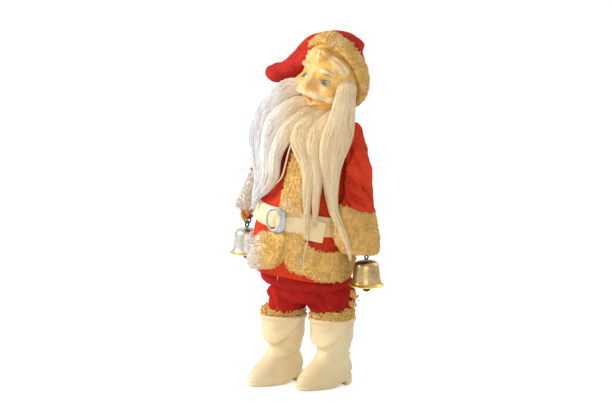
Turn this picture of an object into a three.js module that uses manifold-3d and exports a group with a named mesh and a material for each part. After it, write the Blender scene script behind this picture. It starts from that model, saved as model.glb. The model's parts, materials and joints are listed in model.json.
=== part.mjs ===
// A standing Santa Claus display doll: moulded head and boots, felt suit, plush trim and two bells.
// Millimetres, +Z up, the doll faces -Y and its own left is +X. The floor is z = 0.
import * as THREE from "three";
import { mergeVertices } from "three/addons/utils/BufferGeometryUtils.js";
import Module from "manifold-3d";

const wasm = await Module();
wasm.setup();

// Driving dimensions of the whole doll
const FIT_GAP = 0.35; // left between pieces that touch
const CENTRE_SHIFT_X = -1.84; // brings the middle of the whole outline over the origin
const CENTRE_SHIFT_Y = 12.89;
const LEAN_DEG = 6; // the figure leans towards its own left
const LEAN_HEIGHT = 80; // height of the hips, where the lean starts

// Torso and coat
const COAT_WALL = 2;
const COAT_HEM_Z = 96;
const COAT_LENGTH = 137.5;
const COAT_TOP_Z = COAT_HEM_Z + COAT_LENGTH;
const COLLAR_DEPTH = 6.5; // the coat's top closes round the neck over this depth
const COLLAR_Z = COAT_TOP_Z - COLLAR_DEPTH;
const SHOULDER_DROP = 19.5; // the arm's pivot below the coat's top
const SHOULDER_Z = COAT_TOP_Z - SHOULDER_DROP;
const SHOULDER_HALF_WIDTH = 30.4;
const CORE_LIFT = 8; // the stuffed core ends this far above the coat's hem
const CORE_BOTTOM_Z = COAT_HEM_Z + CORE_LIFT;
const NECK_LENGTH = 19.5;
const NECK_TOP_Z = COAT_TOP_Z + NECK_LENGTH;
const NECK_X = 4; // the neck stands a little towards the doll's left
const NECK_Y = 2;
const NECK_RADIUS = 8;

// Plush trim
const PLUSH_THICK = 4.2;
const STRIP_WIDTH = 24;
const STRIP_CENTRE_X = 9;
const HEM_RISE = 28; // the roll of plush above and below the coat's hem
const HEM_DROP = 4;
const HEM_TOP_Z = COAT_HEM_Z + HEM_RISE;
const HEM_BOTTOM_Z = COAT_HEM_Z - HEM_DROP;

// Belt and buckle
const BELT_RISE = 52; // the belt's middle above the coat's hem
const BELT_Z = COAT_HEM_Z + BELT_RISE;
const BELT_WIDTH = 17;
const BELT_THICK = 1.3;
const BELT_TILT_DEG = 4;
const BUCKLE_X = -6;
const BUCKLE_WIDTH = 19;
const BUCKLE_HEIGHT = 23;
const BUCKLE_BAR = 3;
const BUCKLE_THICK = 1.6;
const BUCKLE_STAND_OFF = 0.8; // the flat buckle clears the bulge of the belly

// Trousers and legs
const SEAT_HALF_WIDTH = 42;
const SEAT_HALF_DEPTH = 33;
const LEG_POST_RADIUS = 4;

// Boots
const BOOT_HEIGHT = 60;
const BOOT_TOP_HALF_WIDTH = 19;
const BOOT_TOP_HALF_DEPTH = 19.8;
const BOOT_WALL = 1.8;
const BOOT_X = 22.5;
const BOOT_STAGGER_Y = 4.1; // how far one boot stands in front of the middle, the other behind
const BOOT_TURN_DEG = -20; // toes point towards the doll's right
const BOOT_FLOOR = 6; // depth of solid sole under the hollow
const POST_LIFT = 3; // the leg post ends above the sole
const LEG_POST_END_Z = BOOT_FLOOR + POST_LIFT;
const PLUG_HEIGHT = 10;

// Trouser legs end over the boots, and a fleece edge hangs down inside them
const TROUSER_LIFT = 2;
const TROUSER_END_Z = BOOT_HEIGHT + TROUSER_LIFT;
const LEG_OVERHANG = 0.5;
const LEG_HALF_WIDTH = BOOT_TOP_HALF_WIDTH + LEG_OVERHANG;
const FLEECE_CLEARANCE = 2.6; // lets the boot turn round the fleece
const FLEECE_RADIUS = BOOT_TOP_HALF_WIDTH - BOOT_WALL - FLEECE_CLEARANCE;
const FLEECE_DROP = 6;

// Arms
const ARM_STAND_OFF = 3.6; // the arm's middle line stands out from the shoulder
const ARM_PIVOT_X = SHOULDER_HALF_WIDTH + ARM_STAND_OFF;
const ARM_PIVOT_Y = [-3, 0];
const ARM_FORWARD_DEG = [5, 0]; // left, right
const ARM_SPREAD = [0, 12]; // how much further out the wrist hangs
const SLEEVE_LENGTH = [50, 36];
const CUFF_LENGTH = [35.5, 34];
const HAND_LENGTH = 15;
const HAND_IN_CUFF = 16.5; // the hand starts this far up inside the longer cuff
const HAND_TOP = SLEEVE_LENGTH[0] + CUFF_LENGTH[0] - HAND_IN_CUFF;
const HAND_OUT = [8, 2.5]; // how far the hand is set outwards of the wrist
const RING_DROP = 3.6; // the ring's lowest wire below the hand
const RING_WIRE = 0.7;
const RING_RADIUS = 3.4;

// Bells
const BELL_RIM_RADIUS = 15;
const BELL_HEIGHT = 21.5;
const BELL_WALL = 1;
const BELL_EYE_RADIUS = 2.6;
const CLAPPER_RADIUS = 3.8;
const CLAPPER_BELOW_RIM = 1.6; // the ball's middle hangs below the rim
const CLAPPER_WIRE = 0.7;

// Head, hat and beard
const HEAD_TURN_DEG = -10; // the face looks towards the doll's right
const HEAD_HALF = [24.5, 26.5, 33]; // half width, half depth, half height
const NECK_HOLE_DEPTH = 18;
const NECK_END_GAP = 2;
const HEAD_Z = NECK_TOP_Z + NECK_END_GAP + HEAD_HALF[2] - NECK_HOLE_DEPTH;
const FELT_THICK = 2.6;
const BAND_THICK = 6.4;
const BAND_WIDTH = 23;
const BAND_TILT_DEG = 50; // the band slopes from high over the forehead to low at the nape
const BAND_CENTRE = [4, 4]; // back from and above the head's middle

const DEG = Math.PI / 180;

// Shape helpers

// Joins rings of equal count into one closed surface with a fan at each end.
function skin(rings) {
  const count = rings[0].length;
  const positions = [];
  const indices = [];
  rings.forEach((ring) => ring.forEach((p) => positions.push(p.x, p.y, p.z)));
  for (let r = 0; r + 1 < rings.length; r++) {
    for (let i = 0; i < count; i++) {
      const a = r * count + i;
      const b = r * count + ((i + 1) % count);
      indices.push(a, b, b + count, a, b + count, a + count);
    }
  }
  const addCap = (start, ring, flip) => {
    const middle = ring.reduce((sum, p) => sum.add(p), new THREE.Vector3()).divideScalar(count);
    const centre = positions.length / 3;
    positions.push(middle.x, middle.y, middle.z);
    for (let i = 0; i < count; i++) {
      const a = start + i;
      const b = start + ((i + 1) % count);
      indices.push(centre, flip ? b : a, flip ? a : b);
    }
  };
  addCap(0, rings[0], true);
  addCap((rings.length - 1) * count, rings[rings.length - 1], false);
  const geometry = new THREE.BufferGeometry();
  geometry.setAttribute("position", new THREE.Float32BufferAttribute(positions, 3));
  geometry.setIndex(indices);
  return geometry;
}

// A level oval ring: centre x, y, height z, half width a, half depth b.
function oval(x, y, z, a, b, sides = 22) {
  return Array.from({ length: sides }, (_, i) => {
    const angle = (2 * Math.PI * i) / sides;
    return new THREE.Vector3(x + a * Math.cos(angle), y + b * Math.sin(angle), z);
  });
}

// A body of level ovals, given from the bottom up as [z, x, y, half width, half depth].
function loft(levels, grow = 0, sides = 22) {
  const last = levels.length - 1;
  const rings = levels.map(([z, x, y, a, b], i) => {
    const lift = i === 0 ? -grow : i === last ? grow : 0;
    return oval(x, y, z + lift, a + grow, b + grow, sides);
  });
  return solid(skin(rings));
}

// Linear reading of the levels at one height.
function levelAt(levels, z) {
  const next = levels.findIndex((level) => level[0] >= z);
  if (next <= 0) return next === 0 ? levels[0] : levels[levels.length - 1];
  const low = levels[next - 1];
  const high = levels[next];
  const t = (z - low[0]) / (high[0] - low[0]);
  return low.map((value, i) => value + (high[i] - value) * t);
}

// The stretch of a body between two heights, as levels again.
function levelsBetween(levels, bottom, top) {
  const inner = levels.filter((level) => level[0] > bottom && level[0] < top);
  return [levelAt(levels, bottom), ...inner, levelAt(levels, top)];
}

// A tapering sweep along points, with a half width along `across` and a half depth square to it.
function sweep(points, widths, depths, across, steps = 16, sides = 16) {
  const path = new THREE.CatmullRomCurve3(points.map((p) => new THREE.Vector3(...p)));
  const read = (list, t) => {
    const place = t * (list.length - 1);
    const low = Math.min(Math.floor(place), list.length - 2);
    return THREE.MathUtils.lerp(list[low], list[low + 1], place - low);
  };
  const rings = [];
  for (let s = 0; s <= steps; s++) {
    const t = s / steps;
    const centre = path.getPoint(t);
    const along = path.getTangent(t);
    const side = across.clone().addScaledVector(along, -across.dot(along)).normalize();
    const other = new THREE.Vector3().crossVectors(along, side);
    const ring = [];
    for (let i = 0; i < sides; i++) {
      const angle = (2 * Math.PI * i) / sides;
      const point = centre.clone();
      point.addScaledVector(side, read(widths, t) * Math.cos(angle));
      point.addScaledVector(other, read(depths, t) * Math.sin(angle));
      ring.push(point);
    }
    rings.push(ring);
  }
  return solid(skin(rings));
}

// A closed geometry as a solid that can be joined and cut.
function solid(geometry) {
  const bare = geometry.clone();
  bare.deleteAttribute("normal");
  bare.deleteAttribute("uv");
  const merged = mergeVertices(bare, 1e-4);
  const mesh = new wasm.Mesh({
    numProp: 3,
    vertProperties: new Float32Array(merged.attributes.position.array),
    triVerts: new Uint32Array(merged.index.array),
  });
  return new wasm.Manifold(mesh);
}

// The solid's surface as geometry for a mesh.
function surface(body) {
  const mesh = body.getMesh();
  const geometry = new THREE.BufferGeometry();
  geometry.setAttribute("position", new THREE.BufferAttribute(new Float32Array(mesh.vertProperties), 3));
  geometry.setIndex(new THREE.BufferAttribute(new Uint32Array(mesh.triVerts), 1));
  geometry.computeVertexNormals();
  return geometry;
}

// Cylinder along Z from the height `low` to `high`.
function post(x, y, low, high, radius, sides = 20) {
  const geometry = new THREE.CylinderGeometry(radius, radius, high - low, sides);
  geometry.rotateX(Math.PI / 2);
  geometry.translate(x, y, (low + high) / 2);
  return solid(geometry);
}

function block(x, y, z, width, depth, height) {
  return solid(new THREE.BoxGeometry(width, depth, height).translate(x, y, z));
}

function placed(body, { turnZ = 0, tiltY = 0, x = 0, y = 0, z = 0 }) {
  const matrix = new THREE.Matrix4().makeTranslation(x, y, z);
  matrix.multiply(new THREE.Matrix4().makeRotationY(tiltY * DEG));
  matrix.multiply(new THREE.Matrix4().makeRotationZ(turnZ * DEG));
  return body.transform(matrix.elements);
}

// Materials

const material = (color, roughness, metalness = 0) =>
  new THREE.MeshStandardMaterial({ color, roughness, metalness });

const FELT_RED = material(0xc4281e, 0.95);
const TROUSER_RED = material(0xb81a1a, 0.95);
const PLUSH = material(0xcda55c, 1);
const FLEECE = material(0xd0a040, 1);
const BEARD_FIBRE = material(0xe9ddc8, 0.8);
const PAINTED_FACE = material(0xefc56a, 0.5);
const BOOT_PLASTIC = material(0xe8d2a2, 0.45);
const VINYL = material(0xf5e0b0, 0.5);
const SILVER_PLATE = material(0xb9b5aa, 0.3, 0.9);
const BELL_BRASS = material(0xb09a60, 0.28, 0.9);
const STEEL_WIRE = material(0x3a352c, 0.5, 0.8);
const WOOD = material(0xb48a5a, 0.8);
const STUFFING = material(0xd8d0c0, 1);

function mesh(name, body, look) {
  const made = new THREE.Mesh(surface(body), look);
  made.name = name;
  return made;
}

// Coat and torso

const alongCoat = (share) => COAT_HEM_Z + share * COAT_LENGTH;

// Outer face of the coat from the hem up: [z, x, y, half width, half depth].
const COAT = [
  [COAT_HEM_Z, -3, -10, 38.5, 37.5],
  [alongCoat(0.116), -3, -12, 41, 41],
  [alongCoat(0.233), -3, -12.5, 41.5, 42],
  [alongCoat(0.32), -3, -12.5, 40.6, 41.2],
  [alongCoat(0.436), -3, -12, 40.6, 41],
  [alongCoat(0.524), -2.3, -10, 39.6, 38.5],
  [alongCoat(0.625), -1.2, -7, 36.2, 33.5],
  [alongCoat(0.713), -0.4, -4.5, 32.8, 29],
  [alongCoat(0.785), 0, -2, 31.2, 25.5],
  [SHOULDER_Z, 0, 0, SHOULDER_HALF_WIDTH, 22.5],
  [alongCoat(0.924), 0.8, 1, 26.5, 19],
  [alongCoat(0.967), 2.4, 1.6, 18.5, 15.5],
  [COAT_TOP_Z, NECK_X, NECK_Y, 13.5, 13],
];

// Levels of a body drawn in by `inset` on every side.
const drawnIn = (levels, inset) => levels.map(([z, x, y, a, b]) => [z, x, y, a - inset, b - inset]);

function torsoLevels() {
  return drawnIn(levelsBetween(COAT, CORE_BOTTOM_Z, COLLAR_Z), COAT_WALL + FIT_GAP);
}

function coat() {
  const lining = drawnIn(levelsBetween(COAT, COAT_HEM_Z, COLLAR_Z + FIT_GAP), COAT_WALL);
  lining.unshift([COAT_HEM_Z - 1, ...lining[0].slice(1)]);
  const collar = post(NECK_X, NECK_Y, COLLAR_Z - 2, COAT_TOP_Z + 1, NECK_RADIUS + FIT_GAP);
  return loft(COAT).subtract(loft(lining)).subtract(collar);
}

function neckPost() {
  return post(NECK_X, NECK_Y, COLLAR_Z + FIT_GAP, NECK_TOP_Z, NECK_RADIUS);
}

// A band that follows the coat between two heights, `thick` deep.
function coatBand(bottom, top, thick) {
  const levels = levelsBetween(COAT, bottom, top);
  return loft(levels.map(([z, x, y, a, b]) => [z, x, y, a + thick, b + thick]));
}

// The hem's outer form with its open middle, `grow` larger all round.
function hemRoll(grow) {
  const levels = [];
  const rounds = 8;
  for (let i = 0; i <= rounds; i++) {
    const z = THREE.MathUtils.lerp(HEM_BOTTOM_Z, HEM_TOP_Z, i / rounds);
    const [, x, y, a, b] = levelAt(COAT, Math.max(z, COAT_HEM_Z));
    const share = (2 * i) / rounds - 1;
    const bulge = PLUSH_THICK * Math.sqrt(1.08 - share * share);
    levels.push([z, x, y, a + bulge, b + bulge]);
  }
  const [, x, y, a, b] = levelAt(COAT, COAT_HEM_Z);
  const inner = [
    [HEM_BOTTOM_Z - 2, x, y, a - 1, b - 1],
    [COAT_HEM_Z, x, y, a - 1, b - 1],
  ];
  return loft(levels, grow).subtract(loft(inner, -grow));
}

function frontTrim(bottom, top) {
  const strip = block(STRIP_CENTRE_X, -30, (bottom + top) / 2, STRIP_WIDTH, 60, top - bottom);
  return coatBand(bottom - 2, top + 2, PLUSH_THICK).intersect(strip).subtract(loft(COAT, FIT_GAP));
}

// The solid that the belt's outer face bounds, `over` further out and `taller` on each edge.
function beltHull(over, taller) {
  const reach = BELT_WIDTH / 2 + 8;
  const hull = coatBand(BELT_Z - reach, BELT_Z + reach, FIT_GAP + BELT_THICK + over);
  const slab = block(0, 0, 0, 140, 140, BELT_WIDTH + 2 * taller);
  return hull.intersect(placed(slab, { tiltY: BELT_TILT_DEG, z: BELT_Z }));
}

function belt() {
  return beltHull(0, 0).subtract(loft(COAT, FIT_GAP));
}

// The free end of the belt lies over the belt, cut straight across at the doll's left front.
const BELT_END_FROM_X = -4;
const BELT_END_TO_X = 33;

function beltEnd() {
  const width = BELT_END_TO_X - BELT_END_FROM_X;
  const front = block(BELT_END_FROM_X + width / 2, -45, BELT_Z, width, 50, 60);
  return beltHull(FIT_GAP + BELT_THICK, 0).intersect(front).subtract(beltHull(FIT_GAP, 1));
}

function buckle() {
  const outline = new THREE.Shape();
  const w = BUCKLE_WIDTH / 2;
  const h = BUCKLE_HEIGHT / 2;
  const r = 7;
  outline.moveTo(w, -h + 2);
  outline.lineTo(w, h - 2);
  outline.quadraticCurveTo(w, h, w - 2, h);
  outline.lineTo(-w + r, h);
  outline.quadraticCurveTo(-w, h, -w, h - r);
  outline.lineTo(-w, -h + r);
  outline.quadraticCurveTo(-w, -h, -w + r, -h);
  outline.lineTo(w - 2, -h);
  outline.quadraticCurveTo(w, -h, w, -h + 2);
  const opening = new THREE.Path();
  opening.absellipse(-1.2, 0, w - BUCKLE_BAR + 0.6, h - BUCKLE_BAR, 0, 2 * Math.PI, true);
  outline.holes.push(opening);
  const geometry = new THREE.ExtrudeGeometry(outline, {
    depth: BUCKLE_THICK,
    bevelEnabled: false,
    curveSegments: 8,
  });
  geometry.rotateX(Math.PI / 2);
  const [, x, y, a, b] = levelAt(COAT, BELT_Z);
  const across = (BUCKLE_X - x) / a;
  const frontY = y - b * Math.sqrt(1 - across * across);
  const layers = 2 * BELT_THICK + 3 * FIT_GAP + BUCKLE_STAND_OFF;
  geometry.translate(BUCKLE_X, frontY - layers, BELT_Z + 0.9);
  return solid(geometry);
}

// Trousers, hips and legs stand upright under the leaning figure

const SEAT = [
  [COAT_HEM_Z - 24, 0, -1, SEAT_HALF_WIDTH - 6, SEAT_HALF_DEPTH - 9],
  [COAT_HEM_Z - 20, 0, -1.5, SEAT_HALF_WIDTH - 2.5, SEAT_HALF_DEPTH - 4],
  [COAT_HEM_Z - 14, 0, -2.5, SEAT_HALF_WIDTH, SEAT_HALF_DEPTH],
  [COAT_HEM_Z - 8, -0.5, -4, SEAT_HALF_WIDTH - 1, SEAT_HALF_DEPTH],
  [COAT_HEM_Z - 5, -1, -6, SEAT_HALF_WIDTH - 5, SEAT_HALF_DEPTH - 2],
  [COAT_HEM_Z - 2, -2, -8, SEAT_HALF_WIDTH - 8.5, SEAT_HALF_DEPTH - 3],
  [COAT_HEM_Z + 6, -2.5, -9, SEAT_HALF_WIDTH - 10, SEAT_HALF_DEPTH - 4],
];

const HIP = [
  [COAT_HEM_Z - 18, 0, -1, SEAT_HALF_WIDTH - 12, SEAT_HALF_DEPTH - 13],
  [COAT_HEM_Z - 6, -1, -4, SEAT_HALF_WIDTH - 12, SEAT_HALF_DEPTH - 9],
  [COAT_HEM_Z + 5, -2, -8, SEAT_HALF_WIDTH - 13, SEAT_HALF_DEPTH - 8],
];

const legCentre = (side) => [side * (BOOT_X - 0.5), side * BOOT_STAGGER_Y];

// What the leaning figure takes up, seen from the upright legs.
function leaned(body) {
  return placed(body.translate([0, 0, -LEAN_HEIGHT]), { tiltY: LEAN_DEG, z: LEAN_HEIGHT });
}

function hipBlock() {
  return loft(HIP).subtract(leaned(loft(torsoLevels(), FIT_GAP)));
}

function legPost(side) {
  const [x, y] = legCentre(side);
  return post(x, y, LEG_POST_END_Z, HIP[0][0] - FIT_GAP, LEG_POST_RADIUS);
}

function trouserLeg(side) {
  const [x, y] = legCentre(side);
  const a = LEG_HALF_WIDTH;
  return loft(
    [
      [TROUSER_END_Z, x, y, a - 3.5, a - 3],
      [TROUSER_END_Z + 2, x, y, a - 0.6, a],
      [TROUSER_END_Z + 8, x, y, a, a + 2],
      [SEAT[0][0] + 4, x, y - 1, a, a + 3],
    ],
    0,
    20,
  );
}

function trousers() {
  let body = loft(SEAT).add(trouserLeg(1)).add(trouserLeg(-1));
  body = body.subtract(loft(HIP, FIT_GAP)).subtract(leaned(loft(torsoLevels(), FIT_GAP)));
  body = body.subtract(leaned(hemRoll(FIT_GAP)));
  [1, -1].forEach((side) => {
    const [x, y] = legCentre(side);
    body = body.subtract(post(x, y, TROUSER_END_Z - 1, HIP[0][0] + 2, LEG_POST_RADIUS + FIT_GAP));
  });
  return body;
}

function fleeceEdge(side) {
  const [x, y] = legCentre(side);
  const top = TROUSER_END_Z - FIT_GAP;
  const bottom = TROUSER_END_Z - FLEECE_DROP;
  const ring = loft(
    [
      [bottom, x, y, FLEECE_RADIUS - 2, FLEECE_RADIUS - 2],
      [bottom + 2, x, y, FLEECE_RADIUS, FLEECE_RADIUS],
      [top, x, y, FLEECE_RADIUS, FLEECE_RADIUS],
    ],
    0,
    20,
  );
  return ring.subtract(post(x, y, bottom - 1, top + 1, LEG_POST_RADIUS + FIT_GAP));
}

// Boots, in their own frame: the shaft is centred on the origin and the toe points to -Y

const upBoot = (share) => share * BOOT_HEIGHT;
const ANKLE_Z = upBoot(0.483); // the hollow shaft ends at the ankle

const BOOT = [
  [0, 0, -9.5, 11.6, 27.2],
  [upBoot(0.02), 0, -9.5, 12.6, 28.6],
  [upBoot(0.067), 0, -9.5, 13, 29],
  [upBoot(0.15), 0, -9.2, 13.2, 28.8],
  [upBoot(0.233), 0, -8.4, 13.2, 27.6],
  [upBoot(0.317), 0, -6.6, 13, 25],
  [upBoot(0.4), 0, -3, 12.7, 20],
  [ANKLE_Z, 0, 0.4, 12.7, 16.4],
  [upBoot(0.567), 0, 1.4, 13.2, 15.6],
  [upBoot(0.7), 0, 0.8, 15.4, 17.2],
  [upBoot(0.833), 0, 0.2, BOOT_TOP_HALF_WIDTH - 1.6, BOOT_TOP_HALF_DEPTH - 1.2],
  [upBoot(0.933), 0, 0, BOOT_TOP_HALF_WIDTH - 0.4, BOOT_TOP_HALF_DEPTH - 0.4],
  [BOOT_HEIGHT, 0, 0, BOOT_TOP_HALF_WIDTH, BOOT_TOP_HALF_DEPTH],
];

function bootHollow() {
  const levels = drawnIn(levelsBetween(BOOT, ANKLE_Z, BOOT_HEIGHT), BOOT_WALL);
  levels.push([BOOT_HEIGHT + 1, ...levels[levels.length - 1].slice(1)]);
  return loft(levels, 0, 20);
}

function boot() {
  const arch = new THREE.CylinderGeometry(3.2, 3.2, 40, 16).rotateZ(Math.PI / 2);
  arch.translate(0, 5.5, -0.9);
  return loft(BOOT, 0, 20)
    .subtract(bootHollow())
    .subtract(post(0, 0, BOOT_FLOOR, BOOT_HEIGHT, LEG_POST_RADIUS + FIT_GAP))
    .subtract(solid(arch));
}

// The plug fills the boot's ankle round the leg post and steadies it.
function bootPlug() {
  const bottom = ANKLE_Z + FIT_GAP;
  const top = bottom + PLUG_HEIGHT;
  const body = loft(drawnIn(levelsBetween(BOOT, bottom, top), BOOT_WALL + FIT_GAP), 0, 20);
  return body.subtract(post(0, 0, bottom - 1, top + 1, LEG_POST_RADIUS + FIT_GAP));
}

// Arms, in their own frame: the shoulder's axis is X through the origin and the arm hangs to -Z.
// `out` is the distance beyond the pivot on the arm's own side.

function armLevels(spread) {
  return [
    [-13, -0.6, 2.4, 7],
    [-10, 0.9, 3.8, 11],
    [-4, 3.2, 6, 14],
    [6, 5, 7.6, 15.6],
    [20, 7.8 + spread * 0.3, 8.6, 16.6],
    [35, 12.4 + spread * 0.66, 9, 18],
    [50, 15.2 + spread * 0.9, 9.6, 20],
    [70, 18.6 + spread * 0.97, 11.2, 22.5],
    [88, 23 + spread * 0.85, 11.6, 20],
  ];
}

// A piece of the arm between two distances down it, `inset` under the sleeve's face.
function armPiece(side, spread, from, to, inset, insetDepth) {
  const read = levelsBetween(armLevels(spread), from, to).map(([s, out, a, b]) => [
    -s,
    side * out,
    0,
    a - inset,
    b - insetDepth,
  ]);
  return loft(read.reverse(), 0, 20);
}

function armCore(side, spread) {
  return armPiece(side, spread, 2, HAND_TOP - FIT_GAP, 5, 12);
}

function armBore(side, spread) {
  return armPiece(side, spread, 2 - FIT_GAP, 100, 5 - FIT_GAP, 12 - FIT_GAP);
}

function sleeve(side, spread, length) {
  return armPiece(side, spread, -13, length, 0, 0).subtract(armBore(side, spread));
}

function cuff(side, spread, top, length) {
  const levels = [];
  const rounds = 8;
  for (let i = 0; i <= rounds; i++) {
    const s = top + FIT_GAP + (length * i) / rounds;
    const [, out, a, b] = levelAt(armLevels(spread), s);
    const share = (2 * i) / rounds - 1;
    const pinch = 2.4 * share ** 4;
    levels.push([-s, side * (out + 0.6), 0, a - pinch, b + 1 - pinch]);
  }
  return loft(levels.reverse(), 0, 22).subtract(armBore(side, spread));
}

function hand(side, spread, handOut) {
  const [, out] = levelAt(armLevels(spread), HAND_TOP);
  const x = side * (out + handOut);
  const low = -HAND_TOP - HAND_LENGTH;
  return loft(
    [
      [low, x, 0, 2.8, 4.5],
      [low + 1.5, x, 0, 4, 7],
      [low + 7, x, 0, 4.6, 8.5],
      [-HAND_TOP, x - side * handOut, 0, 4.4, 7],
    ],
    0,
    20,
  );
}

// The room the hand needs inside a long cuff.
function handRoom(side, spread, handOut) {
  const [, out] = levelAt(armLevels(spread), HAND_TOP);
  const x = side * (out + handOut);
  const low = -HAND_TOP - HAND_LENGTH;
  return loft(
    [
      [low - 20, x, 0, 5.2, 9],
      [low + 7, x, 0, 5.2, 9],
      [-HAND_TOP, x - side * handOut, 0, 5, 7.6],
    ],
    FIT_GAP,
    20,
  );
}

// Where the bell swings, in the arm's frame: the middle of the ring's lowest wire.
function bellPivot(side, spread, handOut) {
  const [, out] = levelAt(armLevels(spread), HAND_TOP);
  return new THREE.Vector3(side * (out + handOut), 0, -HAND_TOP - HAND_LENGTH - RING_DROP);
}

// The wire ring stands across the doll, so that the bell swings to the front and the back.
function bellRing(pivot, grow = 0) {
  const geometry = new THREE.TorusGeometry(RING_RADIUS, RING_WIRE + grow, 6, 16);
  geometry.rotateX(Math.PI / 2);
  geometry.translate(pivot.x, pivot.y, pivot.z + RING_RADIUS);
  return solid(geometry);
}

// Bells, in their own frame: the swing axis is X through the origin and the bell hangs to -Z

const EYE_OFFSET = BELL_EYE_RADIUS - 2 * RING_WIRE - FIT_GAP; // the eye's middle hangs below the axis
const BELL_TOP = -(EYE_OFFSET + BELL_EYE_RADIUS + RING_WIRE + FIT_GAP);

// Outer face from the crown down: [share of the rim's radius, share of the height].
const BELL_PROFILE = [
  [0, 0],
  [0.4, 0.01],
  [0.573, 0.056],
  [0.68, 0.149],
  [0.733, 0.302],
  [0.773, 0.558],
  [0.813, 0.767],
  [0.893, 0.893],
  [1, 0.958],
  [1, 1],
].map(([radius, depth]) => [radius * BELL_RIM_RADIUS, depth * BELL_HEIGHT]);

function bell() {
  const outer = BELL_PROFILE.map(([r, depth]) => new THREE.Vector2(r, -depth));
  const inner = BELL_PROFILE.slice(1, -1)
    .map(([r, depth]) => new THREE.Vector2(r - BELL_WALL, -depth - BELL_WALL * (r < BELL_RIM_RADIUS - 2)))
    .reverse();
  inner.unshift(new THREE.Vector2(BELL_RIM_RADIUS - BELL_WALL, -BELL_HEIGHT));
  const profile = [...outer, ...inner, new THREE.Vector2(0, -BELL_WALL)];
  const geometry = new THREE.LatheGeometry(profile.reverse(), 20);
  geometry.rotateX(Math.PI / 2);
  geometry.translate(0, 0, BELL_TOP);
  return solid(geometry);
}

// The eye on the crown, in the plane of the swing, linked through the hand's ring.
function bellEye() {
  const geometry = new THREE.TorusGeometry(BELL_EYE_RADIUS, RING_WIRE, 6, 16);
  geometry.rotateY(Math.PI / 2);
  geometry.translate(0, 0, -EYE_OFFSET);
  return solid(geometry);
}

// Clapper frame: its own swing axis is X through the origin, just under the crown
const CLAPPER_TOP = BELL_WALL + FIT_GAP;
const CLAPPER_DROP = BELL_HEIGHT - CLAPPER_TOP + CLAPPER_BELOW_RIM;

function clapperWire() {
  return post(0, 0, -CLAPPER_DROP + CLAPPER_RADIUS + FIT_GAP, 0, CLAPPER_WIRE, 12);
}

function clapperBall() {
  return solid(new THREE.SphereGeometry(CLAPPER_RADIUS, 10, 8)).translate([0, 0, -CLAPPER_DROP]);
}

// Head, in its own frame: the origin is the middle of the skull and the face looks to -Y

// Raised and sunk forms of the head: [across, up, height, half width, half height, tilt], where
// across is the angle from the face's middle towards the doll's left and up the angle above level.
const HEAD_FORMS = [
  [0, -9, 8.5, 8, 10, 0], // nose
  [27, -20, 4.4, 17, 12, 0], // left cheek
  [-27, -20, 4.4, 17, 12, 0], // right cheek
  [27, 2, -2.8, 15, 9, 0], // left eye socket
  [-27, 2, -2.8, 15, 9, 0], // right eye socket
  [27, 20, 2.2, 17, 5, -10], // left brow
  [-27, 20, 2.2, 17, 5, 10], // right brow
  [19, -29, 3.8, 17, 6, -16], // left half of the moustache
  [-19, -29, 3.8, 17, 6, 16], // right half of the moustache
  [0, -37, -2.4, 8, 6, 0], // mouth
  [0, -46, 2.6, 11, 6, 0], // lower lip
  [0, -60, 3.6, 24, 11, 0], // chin
  [38, 42, 4.6, 16, 17, -24], // big wave of hair
  [-8, 44, 3.6, 12, 12, 30], // curl over the forehead
  [-42, 33, 3.4, 11, 12, 10], // small side curl
  [84, -10, 3.4, 9, 15, 0], // left ear
  [-84, -10, 3.4, 9, 15, 0], // right ear
];

function headRadius(direction) {
  const [a, b, c] = HEAD_HALF;
  let radius = 1 / Math.hypot(direction.x / a, direction.y / b, direction.z / c);
  const across = Math.atan2(direction.x, -direction.y) / DEG;
  const up = Math.asin(direction.z) / DEG;
  HEAD_FORMS.forEach(([formAcross, formUp, height, halfWidth, halfHeight, tilt]) => {
    const shrink = Math.cos(up * DEG);
    const dx = (across - formAcross) * shrink;
    const dz = up - formUp;
    const c1 = Math.cos(tilt * DEG);
    const s1 = Math.sin(tilt * DEG);
    const u = (dx * c1 + dz * s1) / halfWidth;
    const v = (-dx * s1 + dz * c1) / halfHeight;
    radius += height * Math.exp(-(u * u + v * v));
  });
  return radius;
}

function headShape(grow = 0) {
  const columns = 36;
  const rows = 22;
  const rings = [];
  for (let r = 1; r < rows; r++) {
    const up = -Math.PI / 2 + (Math.PI * r) / rows;
    const ring = [];
    for (let i = 0; i < columns; i++) {
      const angle = (2 * Math.PI * i) / columns;
      const level = Math.cos(up);
      const direction = new THREE.Vector3(level * Math.cos(angle), level * Math.sin(angle), Math.sin(up));
      ring.push(direction.clone().multiplyScalar(headRadius(direction) + grow));
    }
    rings.push(ring);
  }
  return solid(skin(rings));
}

function head() {
  const low = -HEAD_HALF[2] - 8;
  const neckHole = post(0, 0, low, -HEAD_HALF[2] + NECK_HOLE_DEPTH, NECK_RADIUS + FIT_GAP);
  return headShape().subtract(neckHole);
}

// An even layer over the skull, `thick` deep.
function skullLayer(thick) {
  const [a, b, c] = HEAD_HALF;
  const ball = new THREE.SphereGeometry(1, 22, 15).rotateX(Math.PI / 2);
  return solid(ball.scale(a + thick, b + thick, c + thick));
}

// A slab square to the band's slope, from `low` to `high` above the band's middle.
function bandSlab(low, high) {
  const slab = new THREE.BoxGeometry(150, 110, high - low);
  slab.translate(0, 0, (low + high) / 2);
  slab.rotateX(-BAND_TILT_DEG * DEG);
  slab.translate(0, BAND_CENTRE[0], BAND_CENTRE[1]);
  return solid(slab);
}

function capBand() {
  const half = BAND_WIDTH / 2;
  return skullLayer(BAND_THICK).intersect(bandSlab(-half, half)).subtract(headShape(FIT_GAP));
}

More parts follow.
